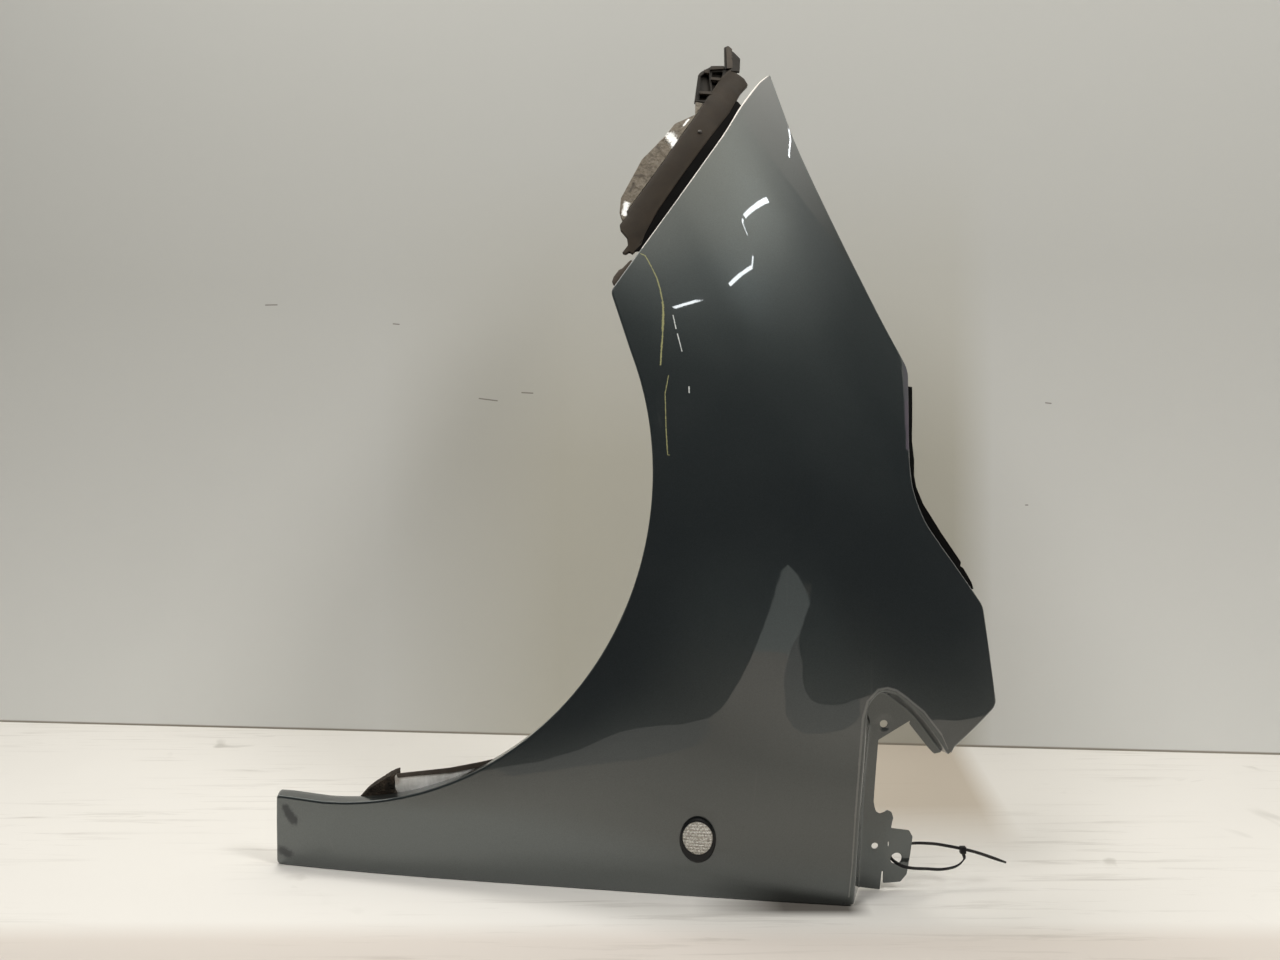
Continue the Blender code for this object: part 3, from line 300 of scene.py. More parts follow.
# Boards, the floor's half-width, the light tent's tones by height and the floor's painted shade in bands from the
# camera to the panel
BOARD_TIP_Y, TIP_LIFT = -2.6, 0.003
BOARD_BACK = [(-2.4, 0.4, 2.7), (-0.3, 0.4, 2.7), (-0.3, 2.2, 2.7), (-2.4, 2.2, 2.7)]
BOARD_TOP = [(-0.1, 0.30, 2.9), (2.40, 0.30, 2.9), (2.40, 2.4, 2.9), (-0.1, 2.4, 2.9)]
FLOOR_HALF = 9
TENT_TONES = [(0.0, 0.045, 0.052, 0.060), (0.26, 0.045, 0.052, 0.060), (0.5, 0.062, 0.073, 0.079),
              (0.64, 0.080, 0.091, 0.095), (0.766, 0.11, 0.12, 0.12), (0.866, 0.37, 0.38, 0.37),
              (0.93, 1.08, 1.06, 0.96), (1.0, 1.50, 1.42, 1.24)]
FLOOR_PAINTED_SHADE = [(0.0, 0.95), (0.294, 0.88), (0.494, 0.56), (0.60, 0.70), (0.753, 0.84), (0.800, 1.0),
               (0.847, 1.0), (0.94, 1.0), (1.0, 1.0)]
WALL_SPOTS = [((-0.400, 0.677), (-0.390, 0.676)), ((-0.620, 0.712), (-0.600, 0.712)),
              ((-0.255, 0.552), (-0.225, 0.548)), ((-0.184, 0.561), (-0.166, 0.560)),
              ((0.640, 0.538), (0.648, 0.537)), ((0.610, 0.379), (0.613, 0.379))]
WALL_LEFT, WALL_RIGHT = Vector((-1.087, 0.611, 0.0)), Vector((0.982, 0.404, 0.0))
# Lamps as name, place and size. All of them face AIM
LAMPS = [("key", (-1.1, -1.5, 2.3), 0.9), ("fill", (1.4, -1.3, 2.0), 0.6), ("top", (-0.55, 0.30, 2.6), 0.7)]
AIM = Vector((0.0, 0.0, 0.35))
LENS = 28.125
CAMERA_AT = (0.0093, -0.980 - 0.13645, 0.418)
# The kinds of ray, apart from mirrored ones, that a card lets by
UNSEEN = ("camera", "diffuse", "transmission", "shadow", "volume_scatter")


# ------------------------------------------------------------------ shapes

def smooth_lean(z):
    """How far back the skin lies at a height, by its lean alone."""
    span = LEAN_Z1 - LEAN_Z0
    t = min(max((z - LEAN_Z0) / span, 0.0), 1.0)
    return LEAN_LOW * z + (LEAN_HIGH - LEAN_LOW) * (span * (t ** 3 - t ** 4 / 2) + max(z - LEAN_Z1, 0.0))


def skin_y(x, z):
    """The skin's depth."""
    t = z - 0.175
    hood_x = ROLL_X - 0.20 * t - 0.19 * t * t
    y = YAW * (YAW_X - x) + BOW * (((x - BOW_X) / BOW_HALF) ** 2 - 1) + smooth_lean(z)
    y += ROLL * max((x - hood_x + ROLL_WIDTH) / ROLL_WIDTH, 0.0) ** 2
    y -= FLARE * math.exp(-((math.hypot(x - ARCH_X, z - ARCH_Z) - ARCH_R) / FLARE_WIDTH) ** 2)
    for deep, at, lean, half, mid, reach in SWAGES:
        y += deep * math.tanh((x - at - lean * (z - 0.25)) / half) * math.exp(-((z - mid) / reach) ** 2)
    beyond = x - CHAMFER_X - CHAMFER_LEAN * (z - CHAMFER_Z)
    if beyond > 0 and CHAMFER_LOW < z < CHAMFER_HIGH:
        y += CHAMFER_DEEP * beyond * min(1.0, (z - CHAMFER_LOW) / 0.02)
    return y


def slopes(x, z, e=0.001):
    """The skin's slopes along x and z."""
    return ((skin_y(x + e, z) - skin_y(x - e, z)) / (2 * e),
            (skin_y(x, z + e) - skin_y(x, z - e)) / (2 * e))


def skin_point(x, z, back=0.0):
    return Vector((x, skin_y(x, z) + back, z))


def skin_normal(x, z):
    """The way that the skin faces."""
    sx, sz = slopes(x, z)
    return Vector((sx, -1.0, sz)).normalized()


def behind(x, z, depth):
    """The point at a depth behind the skin, measured square to it."""
    sx, sz = slopes(x, z)
    return skin_point(x, z, depth * math.sqrt(1 + sx * sx + sz * sz))


def flange_end(depth):
    """Where a piece sits behind a flange of that depth."""
    return depth + LIP_DROP + SEAT


def plate_point(x, z):
    """A point on the bolt plate, with its bent tab and dished holes."""
    y = PLATE_Y + PLATE_LEAN * z
    if z < 0.075:
        y += TAB_SLOPE * 0.0012 * math.log1p(math.exp(min((x - TAB_BEND_X) / 0.0012, 40.0)))
    for hx, hz, r, deep in ((*NOTCH_HOLE[:2], 0.0082, 0.0013), (*PLATE_HOLE[:2], 0.0070, -0.0007)):
        y += deep * max(0.0, min(1.0, (r - math.hypot(x - hx, z - hz)) / 0.0022))
    return Vector((x, y, z))


def spline(points, step=0.002):
    """Points along a smooth curve through the given ones."""
    pts = [np.array(p, float) for p in points]
    pts = [2 * pts[0] - pts[1]] + pts + [2 * pts[-1] - pts[-2]]
    out = []
    for i in range(1, len(pts) - 2):
        a, b, c, d = pts[i - 1:i + 3]
        n = max(2, int(np.linalg.norm(c - b) / step))
        for t in np.arange(n) / n:
            out.append(0.5 * (2 * b + (c - a) * t + (2 * a - 5 * b + 4 * c - d) * t * t
                              + (3 * b - a - 3 * c + d) * t ** 3))
    out.append(pts[-2])
    return out


def straight(a, b, step=0.002):
    """Points along a straight line."""
    a, b = np.array(a, float), np.array(b, float)
    n = max(2, int(np.linalg.norm(b - a) / step))
    return [a + (b - a) * k / n for k in range(n + 1)]


def trim(points, cut):
    """The line less a length at its start."""
    total = 0.0
    for i in range(1, len(points)):
        total += np.linalg.norm(points[i] - points[i - 1])
        if total >= cut:
            return points[i:]
    return points[-2:]


def join(stretches, cuts):
    """Chain stretches of (points, values) and round each corner between them."""
    out = []
    for i, (points, values) in enumerate(stretches):
        if i:
            points = trim(points, cuts[i - 1])
        if i < len(cuts):
            points = trim(points[::-1], cuts[i])[::-1]
        if i:
            corner = np.array(stretches[i][0][0], float)
            start, before = out[-1]
            end, after = points[0], values(points[0])
            for t in np.arange(1, 8) / 8:
                out.append(((1 - t) ** 2 * start + 2 * t * (1 - t) * corner + t * t * end,
                            (1 - t) * before + t * after))
        out += [(p, values(p)) for p in points]
    return out


def outward(points, i):
    """The way out of an anticlockwise outline, longer at a corner."""
    n = len(points)
    a, here, b = points[max(i - 1, 0)], points[i], points[min(i + 1, n - 1)]
    u = here - a if np.linalg.norm(here - a) > 1e-9 else b - here
    v = b - here if np.linalg.norm(b - here) > 1e-9 else u
    u, v = u / np.linalg.norm(u), v / np.linalg.norm(v)
    m = np.array((u[1] + v[1], -u[0] - v[0]))
    m /= max(np.linalg.norm(m), 1e-9)
    return m / max(m @ np.array((u[1], -u[0])), 0.6)


def inside(points, loop):
    """For each x, z row of points, whether it lies in the loop."""
    x, z = points[:, 0], points[:, 1]
    hit = np.zeros(len(points), bool)
    a = np.array([p[:2] for p in loop], float)
    for (px, pz), (qx, qz) in zip(a, np.roll(a, 1, axis=0)):
        if pz != qz:
            hit ^= ((pz > z) != (qz > z)) & (x < (qx - px) * (z - pz) / (qz - pz) + px)
    return hit


def ring_points(x, z, a, b, n):
    """Points round an oval."""
    t = 2 * math.pi * np.arange(n) / n
    return [np.array(p) for p in zip(x + a * np.cos(t), z + b * np.sin(t))]


def rounded(poly, radius, step, n=4):
    """The closed outline with its corners rounded and its sides divided."""
    out = []
    pts = [np.array(p, float) for p in poly]
    for i, p in enumerate(pts):
        a, b = pts[i - 1], pts[(i + 1) % len(pts)]
        ra = min(radius, 0.45 * np.linalg.norm(a - p))
        rb = min(radius, 0.45 * np.linalg.norm(b - p))
        start = p + (a - p) / np.linalg.norm(a - p) * ra
        end = p + (b - p) / np.linalg.norm(b - p) * rb
        if out:
            out += straight(out[-1], start, step)[1:-1]
        for t in np.arange(n + 1) / n:
            out.append((1 - t) ** 2 * start + 2 * t * (1 - t) * p + t * t * end)
    return out + straight(out[-1], out[0], step)[1:-1]


def fill(loops, pitch, extra=()):
    """Triangles over the first loop less the others: all the points, then the faces."""
    points, edges = [], []
    for loop in loops:
        base = len(points)
        points += [np.array(p[:2], float) for p in loop]
        edges += [(base + k, base + (k + 1) % len(loop)) for k in range(len(loop))]
    points += [np.array(p, float) for p in extra]
    tree = KDTree(len(points))
    for i, p in enumerate(points):
        tree.insert((p[0], p[1], 0.0), i)
    tree.balance()
    low, high = np.min(points, axis=0), np.max(points, axis=0)
    rows = np.arange(low[1] + pitch / 2, high[1], pitch * 0.866)
    grid = np.array([(x, z) for k, z in enumerate(rows)
                     for x in np.arange(low[0] + (pitch / 2 if k % 2 else 0.0), high[0], pitch)])
    if len(grid):
        keep = inside(grid, loops[0])
        for loop in loops[1:]:
            keep &= ~inside(grid, loop)
        points += [p for p in grid[keep] if tree.find((p[0], p[1], 0.0))[2] > pitch / 2]
    verts, _, faces, origin, _, _ = delaunay_2d_cdt([Vector(p) for p in points], edges, [], 0, 1e-7)
    index = [o[0] if o else -1 for o in origin]
    flat = np.array([tuple(v) for v in verts])
    tri = np.array([f for f in faces if len(f) == 3])
    a, b, c = flat[tri[:, 0]], flat[tri[:, 1]], flat[tri[:, 2]]
    area = np.abs((b - a)[:, 0] * (c - a)[:, 1] - (c - a)[:, 0] * (b - a)[:, 1]) / 2
    middle = (a + b + c) / 3
    keep = inside(middle, loops[0]) & (area > 1e-10)
    for loop in loops[1:]:
        keep &= ~inside(middle, loop)
    return points, [[index[k] for k in f] for f in tri[keep] if min(index[k] for k in f) >= 0]


def finish_piece(obj, slot, *nodes):
    """Ride on the root body and stand for the CAD nodes. slot is not used."""
    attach(obj, "root")
    if nodes:
        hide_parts(*nodes)
    return obj


def make(name, verts, faces, mats, finish=None, normals=None, sharp=SHARP):
    """A smooth-shaded mesh object. Normals may be given for some corners, and zero leaves one alone."""
    mesh = bpy.data.meshes.new(name)
    mesh.from_pydata([tuple(Vector(v) + SHIFT) for v in verts], [], faces)
    for mat in mats:
        mesh.materials.append(mat)
    if finish is not None:
        mesh.polygons.foreach_set("material_index", finish)
    mesh.polygons.foreach_set("use_smooth", [True] * len(mesh.polygons))
    mesh.set_sharp_from_angle(angle=math.radians(sharp))
    if normals is not None:
        mesh.normals_split_custom_set(normals)
    obj = bpy.data.objects.new(name, mesh)
    bpy.context.scene.collection.objects.link(obj)
    return obj


def tidy(obj, merge=MERGE, sharp=SHARP):
    """Merge doubles and point every face of a closed piece out."""
    bm = bmesh.new()
    bm.from_mesh(obj.data)
    bmesh.ops.remove_doubles(bm, verts=bm.verts, dist=merge)
    bmesh.ops.recalc_face_normals(bm, faces=bm.faces)
    bm.to_mesh(obj.data)
    bm.free()
    obj.data.set_sharp_from_angle(angle=math.radians(sharp))
    return obj


class Sheet:
    """The points, faces and known normals of a folded sheet before it gets its thickness."""

    def __init__(self):
        self.points, self.normals, self.faces = [], [], []

    def add(self, point, normal=None):
        self.points.append(Vector(point))
        self.normals.append(normal)
        return len(self.points) - 1

    def strip(self, last, here):
        self.faces += [[last[i], last[i + 1], here[i + 1], here[i]] for i in range(len(last) - 1)]

    def patch(self, loops, ids, pitch, place, normal=None, extra=()):
        """Fill the loops. ids holds the known point numbers of all the loops' points in order, or None."""
        points, faces = fill(loops, pitch, extra)
        known = list(ids) + [None] * (len(points) - len(ids))
        for k, p in enumerate(points):
            if known[k] is None:
                known[k] = self.add(place(p[0], p[1]), normal(p[0], p[1]) if normal else None)
        self.faces += [[known[k] for k in f] for f in faces]
        return known

    def thicken(self, name, thick, mats):
        """A closed sheet: outer faces in the first material, inner in the second, rim in the third."""
        bm = bmesh.new()
        verts = [bm.verts.new(p) for p in self.points]
        for f in self.faces:
            try:
                bm.faces.new([verts[k] for k in f])
            except ValueError:
                continue
        bmesh.ops.recalc_face_normals(bm, faces=bm.faces)
        biggest = max(bm.faces, key=lambda f: f.calc_area() * abs(f.normal.y))
        if biggest.normal.y > 0:
            bmesh.ops.reverse_faces(bm, faces=bm.faces)
        bm.normal_update()
        bm.verts.index_update()
        n = len(verts)
        known = [self.normals[v.index] for v in bm.verts]
        facing = [known[v.index] or v.normal.copy() for v in bm.verts]
        points = [v.co.copy() for v in bm.verts]
        points += [p - thick * m for p, m in zip(points, facing)]
        faces, finish, normals = [], [], []
        zero = Vector()
        for f in bm.faces:
            ids = [v.index for v in f.verts]
            faces += [ids, [k + n for k in reversed(ids)]]
            finish += [0, 1]
            normals += [known[k] or zero for k in ids]
            normals += [-known[k] if known[k] else zero for k in reversed(ids)]
        for e in bm.edges:
            if len(e.link_faces) == 1:
                loop = e.link_loops[0]
                a, b = loop.vert.index, loop.link_loop_next.vert.index
                faces.append([b, a, a + n, b + n])
                finish.append(2)
                normals += [zero] * 4
        bm.free()
        return make(name, points, faces, mats, finish, normals)


def slab(name, loop, front, back, mats, holes=(), pitch=0.004, round_by=0.0004, sharp=SHARP):
    """A closed plate between two depth functions, with its front rim rounded."""
    loops = [list(loop)] + [list(h) for h in holes]
    points, tris = fill(loops, pitch)
    n = len(points)
    verts = [Vector(front(p[0], p[1])) for p in points] + [Vector(back(p[0], p[1])) for p in points]
    faces = [list(f) for f in tris] + [[k + n for k in reversed(f)] for f in tris]
    base = 0
    for chain in loops:
        size = len(chain)
        mid = []
        for k in range(size):
            i = base + k
            edge = verts[i].copy()
            away = (verts[n + i] - edge).normalized()
            mid.append(len(verts))
            verts.append(edge + away * round_by)
            flat = np.array(chain[(k + 1) % size][:2]) - np.array(chain[k - 1][:2])
            flat /= max(np.linalg.norm(flat), 1e-9)
            turn = np.array((flat[1], -flat[0]))
            probe = np.array([np.array(chain[k][:2]) + 0.0003 * turn])
            if inside(probe, loops[0])[0] and not any(inside(probe, h)[0] for h in loops[1:]):
                turn = -turn
            verts[i] = edge - Vector((turn[0], 0.0, turn[1])) * round_by
        for k in range(size):
            m = (k + 1) % size
            faces.append([base + k, base + m, mid[m], mid[k]])
            faces.append([mid[k], mid[m], base + m + n, base + k + n])
        base += size
    return tidy(make(name, verts, faces, mats, sharp=sharp), sharp=sharp)


def plate(name, outline, corner, step, near, far, mat, slot, nodes=(), **fine):
    """A slab behind the skin with its corners rounded. near and far are depths, or functions of x and z."""
    def level(depth):
        return depth if callable(depth) else lambda x, z: behind(x, z, depth)

    return finish_piece(slab(name, rounded(outline, corner, step), level(near), level(far), [mat], **fine),
                        slot, *nodes)


def bridge(rings):
    """Faces between rings of equally many point numbers, and a cap at either end."""
    faces = [[r[k], r[(k + 1) % len(r)], s[(k + 1) % len(r)], s[k]]
             for r, s in zip(rings, rings[1:]) for k in range(len(r))]
    return faces + [rings[0][::-1], rings[-1]]


def revolve(name, profile, mats, closed, n=96, relief=None):
    """Oval rings round the repeater's centre, in rows of half-widths, height and rise."""
    verts, faces, rings = [], [], []
    for a, b, h, rise in profile:
        rings.append(list(range(len(verts), len(verts) + (1 if a == 0 else n))))
        for k in range(1 if a == 0 else n):
            t = 2 * math.pi * k / n
            more = relief(a * math.cos(t), b * math.sin(t), t) if relief and h > 0.0045 else 0.0
            verts.append(skin_point(LAMP_X + a * math.cos(t), LAMP_Z + rise + b * math.sin(t), -h - more))
    pairs = list(zip(rings, rings[1:])) + ([(rings[-1], rings[0])] if closed else [])
    for r, s in pairs:
        for k in range(n):
            m = (k + 1) % n
            if len(r) == 1:
                faces.append([r[0], s[k], s[m]])
            elif len(s) == 1:
                faces.append([r[k], r[m], s[0]])
            else:
                faces.append([r[k], r[m], s[m], s[k]])
    return tidy(make(name, verts, faces, mats))


# ------------------------------------------------------------------ finishes

class Graph:
    """Short calls for the nodes of one material or group."""

    def __init__(self, tree):
        self.tree = tree

    def add(self, kind, values=None, **settings):
        """A new node with its input values and settings."""
        node = self.tree.nodes.new("ShaderNode" + kind)
        for key, value in settings.items():
            setattr(node, key, value)
        for key, value in (values or {}).items():
            self.put(node.inputs[key], value)
        return node

    def put(self, socket, value):
        """Link a socket or set its constant."""
        if isinstance(value, bpy.types.NodeSocket):
            self.tree.links.new(value, socket)
        else:
            socket.default_value = value

    def math(self, operation, a, b=0.0, clamp=False):
        return self.add("Math", {0: a, 1: b}, operation=operation, use_clamp=clamp).outputs[0]

    def times(self, a, b, clamp=False):
        return self.math("MULTIPLY", a, b, clamp)

    def most(self, a, b):
        return self.math("MAXIMUM", a, b)

    def place(self):
        """Where the shaded point lies on its object."""
        return self.add("TexCoord").outputs["Object"]

    def split(self, vector):
        return self.add("SeparateXYZ", {0: vector}).outputs

    def ramp(self, value, stops):
        """A colour ramp through stops of position, red, green and blue."""
        node = self.add("ValToRGB", {0: value})
        node.color_ramp.elements[1].position = 1.0
        for _ in stops[2:]:
            node.color_ramp.elements.new(0.5)
        for stop, (at, *colour) in zip(node.color_ramp.elements, stops):
            stop.position = at
            stop.color = (*colour, 1.0)
        return node.outputs[0]

    def remap(self, value, low, high, to_low=0.0, to_high=1.0):
        return self.add("MapRange", {"Value": value, "From Min": low, "From Max": high,
                                     "To Min": to_low, "To Max": to_high}).outputs[0]

    def blend(self, factor, a, b, mode="MIX"):
        node = self.add("Mix", data_type="RGBA", blend_type=mode)
        self.put(node.inputs[0], factor)
        for socket, value in ((node.inputs[6], a), (node.inputs[7], b)):
            self.put(socket, rgba(value) if isinstance(value, tuple) else value)
        return node.outputs[2]

    def noise(self, vector, scale, detail=3.0, rough=0.5, distort=0.0):
        return self.add("TexNoise", {"Vector": vector, "Scale": scale, "Detail": detail,
                                     "Roughness": rough, "Distortion": distort}).outputs["Fac"]

    def bump(self, height, strength, distance):
        return self.add("Bump", {"Height": height, "Strength": strength, "Distance": distance}).outputs[0]


def group(name, inputs, outputs):
    """A shader node group with named sockets, and its graph, input and output nodes."""
    tree = bpy.data.node_groups.new(name, "ShaderNodeTree")
    for label, kind, default in inputs:
        socket = tree.interface.new_socket(label, in_out="INPUT", socket_type="NodeSocket" + kind)
        socket.default_value = default
    for label, kind in outputs:
        tree.interface.new_socket(label, in_out="OUTPUT", socket_type="NodeSocket" + kind)
    g = Graph(tree)
    return g, tree.nodes.new("NodeGroupInput"), tree.nodes.new("NodeGroupOutput")


def build_groups():
    """The shared shader groups."""
    made = {}

    g, source, sink = group("Settled dust", [("Scale", "Float", 9.0), ("Cover", "Float", 0.3)], [("Mask", "Float")])
    place = g.place()
    cloud = g.noise(place, source.outputs["Scale"], 5.0, 0.6, 0.4)
    up = g.split(g.add("NewGeometry").outputs["Normal"])[2]
    up = g.remap(up, -0.2, 1.0, 0.35, 1.0)
    mask = g.times(g.remap(cloud, 0.42, 0.72), up)
    g.put(sink.inputs[0], g.times(mask, source.outputs["Cover"], True))
    made["dust"] = g.tree

    g, source, sink = group("Line mark", [("Start", "Vector", (0, 0, 0)), ("End", "Vector", (0, 0, 1)),
                                          ("Width", "Float", 0.001), ("Wobble", "Float", 1.0)], [("Mask", "Float")])
    place = g.place()
    flat = (1.0, 0.0, 1.0)

    def vector(operation, a, b, out=0):
        return g.add("VectorMath", {0: a, 1: b}, operation=operation).outputs[out]

    p = vector("MULTIPLY", vector("SUBTRACT", place, source.outputs["Start"]), flat)
    q = vector("MULTIPLY", vector("SUBTRACT", source.outputs["End"], source.outputs["Start"]), flat)
    along = g.math("DIVIDE", vector("DOT_PRODUCT", p, q, 1), vector("DOT_PRODUCT", q, q, 1), True)
    reach = g.add("VectorMath", {0: q, "Scale": along}, operation="SCALE").outputs[0]
    away = vector("DISTANCE", p, reach, 1)
    ratio = g.math("DIVIDE", away, g.times(source.outputs["Width"], source.outputs["Wobble"]))
    g.put(sink.inputs[0], g.remap(ratio, 1.0, 0.45))
    made["line"] = g.tree

    g, source, sink = group("Fine scuffs", [("Scale", "Float", 60.0), ("Amount", "Float", 0.3)], [("Mask", "Float")])
    place = g.place()
    turned = g.add("Mapping", {"Vector": place, "Rotation": (0.2, 0.7, 0.3), "Scale": (1.0, 1.0, 0.06)}).outputs[0]
    lines = g.noise(turned, source.outputs["Scale"], 2.0, 0.6, 1.5)
    patch = g.noise(place, 7.0, 2.0)
    mask = g.times(g.remap(lines, 0.66, 0.74), g.remap(patch, 0.5, 0.65))
    g.put(sink.inputs[0], g.times(mask, source.outputs["Amount"], True))
    made["scuffs"] = g.tree

    g, source, sink = group("Moulded grain", [("Scale", "Float", 900.0)], [("Height", "Float"), ("Tone", "Float")])
    place = g.place()
    cells = g.add("TexVoronoi", {"Vector": place, "Scale": source.outputs["Scale"]}).outputs["Distance"]
    g.put(sink.inputs[0], g.math("ADD", cells, g.noise(place, 260.0, 3.0)))
    g.put(sink.inputs[1], g.noise(place, 28.0, 5.0, 0.65, 0.6))
    made["grain"] = g.tree

    g, source, sink = group("Edge wear", [("Low", "Float", 0.52), ("High", "Float", 0.60)], [("Mask", "Float")])
    point = g.add("NewGeometry").outputs["Pointiness"]
    place = g.place()
    worn = g.remap(point, source.outputs["Low"], source.outputs["High"])
    g.put(sink.inputs[0], g.times(worn, g.remap(g.noise(place, 90.0, 4.0, 0.7), 0.35, 0.6), True))
    made["wear"] = g.tree
    return made


class Finish:
    """One material: its graph, its Principled shader and the shared groups."""

    def __init__(self, name, groups, **constants):
        self.mat = bpy.data.materials.new(name)
        self.mat.use_nodes = True
        self.g = Graph(self.mat.node_tree)
        self.shader = self.mat.node_tree.nodes["Principled BSDF"]
        self.groups = groups
        self.place = self.g.place()
        for key, value in constants.items():
            self.shader.inputs[key.replace("_", " ")].default_value = value

    def use(self, key, out=0, **values):
        """One output of a shared group."""
        node = self.g.add("Group", node_tree=self.groups[key])
        for label, value in values.items():
            self.g.put(node.inputs[label], value)
        return node.outputs[out]

    def dress(self, colour, rough, height, strength=0.2, deep=0.0002, metal=None, coat=None):
        """Set the shader's colour, roughness, bump, metal and clear coat, and hand over the material."""
        normal = self.g.bump(height, strength, deep) if height else None
        for socket, value in (("Base Color", colour), ("Roughness", rough), ("Normal", normal),
                              ("Metallic", metal), ("Coat Weight", coat)):
            if value is not None:
                self.g.put(self.shader.inputs[socket], value)
        return self.mat


def marks(f, chains, ragged=0.4):
    """One mask over chains of short line marks. Ragged ones swell and thin out along the way."""
    mask, wobble = None, 1.0
    if ragged:
        rough = f.g.noise(f.place, 430.0, 3.0, 0.7)
        wobble = f.g.remap(rough, 0.3, 0.7, 1.0 + 0.6 * ragged, 1.0 - 0.9 * ragged)
    for chain in chains:
        for (ax, az, aw), (bx, bz, bw) in zip(chain, chain[1:]):
            here = f.use("line", Start=(ax + SHIFT.x, 0.0, az), End=(bx + SHIFT.x, 0.0, bz),
                         Width=(aw + bw) / 2, Wobble=wobble)
            mask = here if mask is None else f.g.most(mask, here)
    return mask


def rgba(colour, factor=1.0):
    """A colour scaled, with full alpha."""
    return (colour[0] * factor, colour[1] * factor, colour[2] * factor, 1.0)


def build_finishes(groups, look):
    """All the materials of the fender, by key."""
    made = {}
    paint = tuple(look.paint_colour)

    # Base coat with flakes under a clear coat, with dust, scuffs and marks, and painted highlights along the rolled
    # edges and on the chamfer facet
    f = Finish("Metallic paint", groups, Coat_Weight=1.0, Coat_Roughness=0.02, Coat_IOR=look.coat_ior)
    g = f.g
    flakes = g.add("TexVoronoi", {"Vector": f.place, "Scale": 1.0 / look.flake_size}).outputs["Color"]
    glint = g.add("SeparateColor", {0: flakes}).outputs[0]
    tone = g.math("ADD", g.times(glint, 0.22), 0.89)
    cover = g.most(f.use("dust", Scale=5.0, Cover=0.11), f.use("scuffs", Scale=45.0, Amount=0.18))
    yellow, pale, rubs = marks(f, YELLOW, 0.75), marks(f, PALE, 0.6), marks(f, RUBS, 0.5)
    # Painted highlights: light lines along the rolled edges and a dull patch on the chamfer facet, with the coat
    # thinned under them
    facet, low = marks(f, FACET_PAINTED_HIGHLIGHT, 0.0), marks(f, FACET_LOW_PAINTED_HIGHLIGHT, 0.0)
    bright = marks(f, LAMP_EDGE_PAINTED_HIGHLIGHT, 0.35)
    grey = g.most(marks(f, RIGHT_EDGE_PAINTED_HIGHLIGHT, 0.1), marks(f, COWL_EDGE_PAINTED_HIGHLIGHT, 0.25))
    grey = g.times(g.most(grey, marks(f, HOOD_EDGE_PAINTED_HIGHLIGHT, 0.3)), 0.6)
    colour = g.blend(1.0, rgba(paint), tone, "MULTIPLY")
    for mask, over in ((cover, (0.16, 0.155, 0.14)), (grey, (0.27, 0.27, 0.25)), (bright, (0.86, 0.80, 0.73)),
                       (facet, (0.082, 0.080, 0.090)), (low, (0.095, 0.080, 0.100)),
                       (g.times(rubs, 0.8), (0.030, 0.032, 0.033)), (yellow, (0.30, 0.29, 0.13)),
                       (pale, (0.62, 0.64, 0.60))):
        colour = g.blend(mask, colour, over)
    # The coat is thinned and the flakes dulled under the scratches, rubs, dust and scuffs, and under the painted
    # highlights
    bare_and_painted_highlight = g.most(g.most(yellow, pale), g.times(rubs, 0.7))
    bare_and_painted_highlight = g.most(bare_and_painted_highlight, g.most(cover, g.times(g.most(facet, low), 0.85)))
    bare_and_painted_highlight = g.most(bare_and_painted_highlight, g.times(g.most(bright, grey), 0.9))
    made["paint"] = f.dress(colour, g.remap(bare_and_painted_highlight, 0.0, 1.0, look.paint_rough, 0.75), glint, 0.05, 0.0002,
                            g.remap(bare_and_painted_highlight, 0.0, 1.0, look.paint_metal, 0.0), g.remap(bare_and_painted_highlight, 0.0, 1.0, 1.0, 0.1))

    f = Finish("Paint inside", groups, Coat_Weight=0.25, Coat_Roughness=0.35)
    g = f.g
    drift = g.noise(f.place, 11.0, 6.0, 0.65, 0.8)
    dust = f.use("dust", Scale=14.0, Cover=0.55)
    runs = g.add("Mapping", {"Vector": f.place, "Scale": (1.0, 1.0, 0.12)}).outputs[0]
    runs = g.remap(g.noise(runs, 36.0, 3.0), 0.6, 0.75, 0.0, 0.4)
    colour = g.blend(g.remap(drift, 0.4, 0.62), rgba(paint, 0.75), (0.115, 0.120, 0.118))
    colour = g.blend(dust, colour, (0.20, 0.175, 0.14))
    made["inside"] = f.dress(g.blend(runs, colour, (0.055, 0.045, 0.035)), g.remap(drift, 0.3, 0.7, 0.42, 0.68),
                             g.noise(f.place, 420.0, 2.0), 0.15, 0.0003, g.remap(dust, 0.0, 0.5, 0.35, 0.0))

    f = Finish("Bare cut edge", groups, Metallic=0.3)
    g = f.g
    rust = g.noise(f.place, 160.0, 5.0, 0.7, 0.5)
    colour = g.blend(g.remap(rust, 0.44, 0.56), (0.24, 0.245, 0.235), (0.12, 0.085, 0.055))
    made["edge"] = f.dress(colour, g.remap(rust, 0.3, 0.7, 0.45, 0.8), rust, 0.2, 0.0004)

    def moulded(name, colour, dusty, rough, cover, grain=1400.0, edge=WORN, shine=0.3):
        """Grained plastic or rubber with dust and worn edges."""
        f = Finish(name, groups, Specular_IOR_Level=shine)
        g = f.g
        tone = f.use("grain", 1, Scale=grain)
        dust = f.use("dust", Scale=26.0, Cover=cover)
        wear = f.use("wear", Low=0.53, High=0.62)
        mix = g.blend(g.remap(tone, 0.35, 0.68), rgba(colour, 0.8), rgba(colour, 1.25))
        mix = g.blend(dust, mix, rgba(dusty))
        mix = g.blend(g.times(wear, 0.5), mix, rgba(edge))
        return f.dress(mix, g.remap(tone, 0.3, 0.7, rough - 0.06, rough + 0.10),
                       f.use("grain", 0, Scale=grain), 0.25)

    for key, values in MOULDED.items():
        made[key] = moulded(*values)

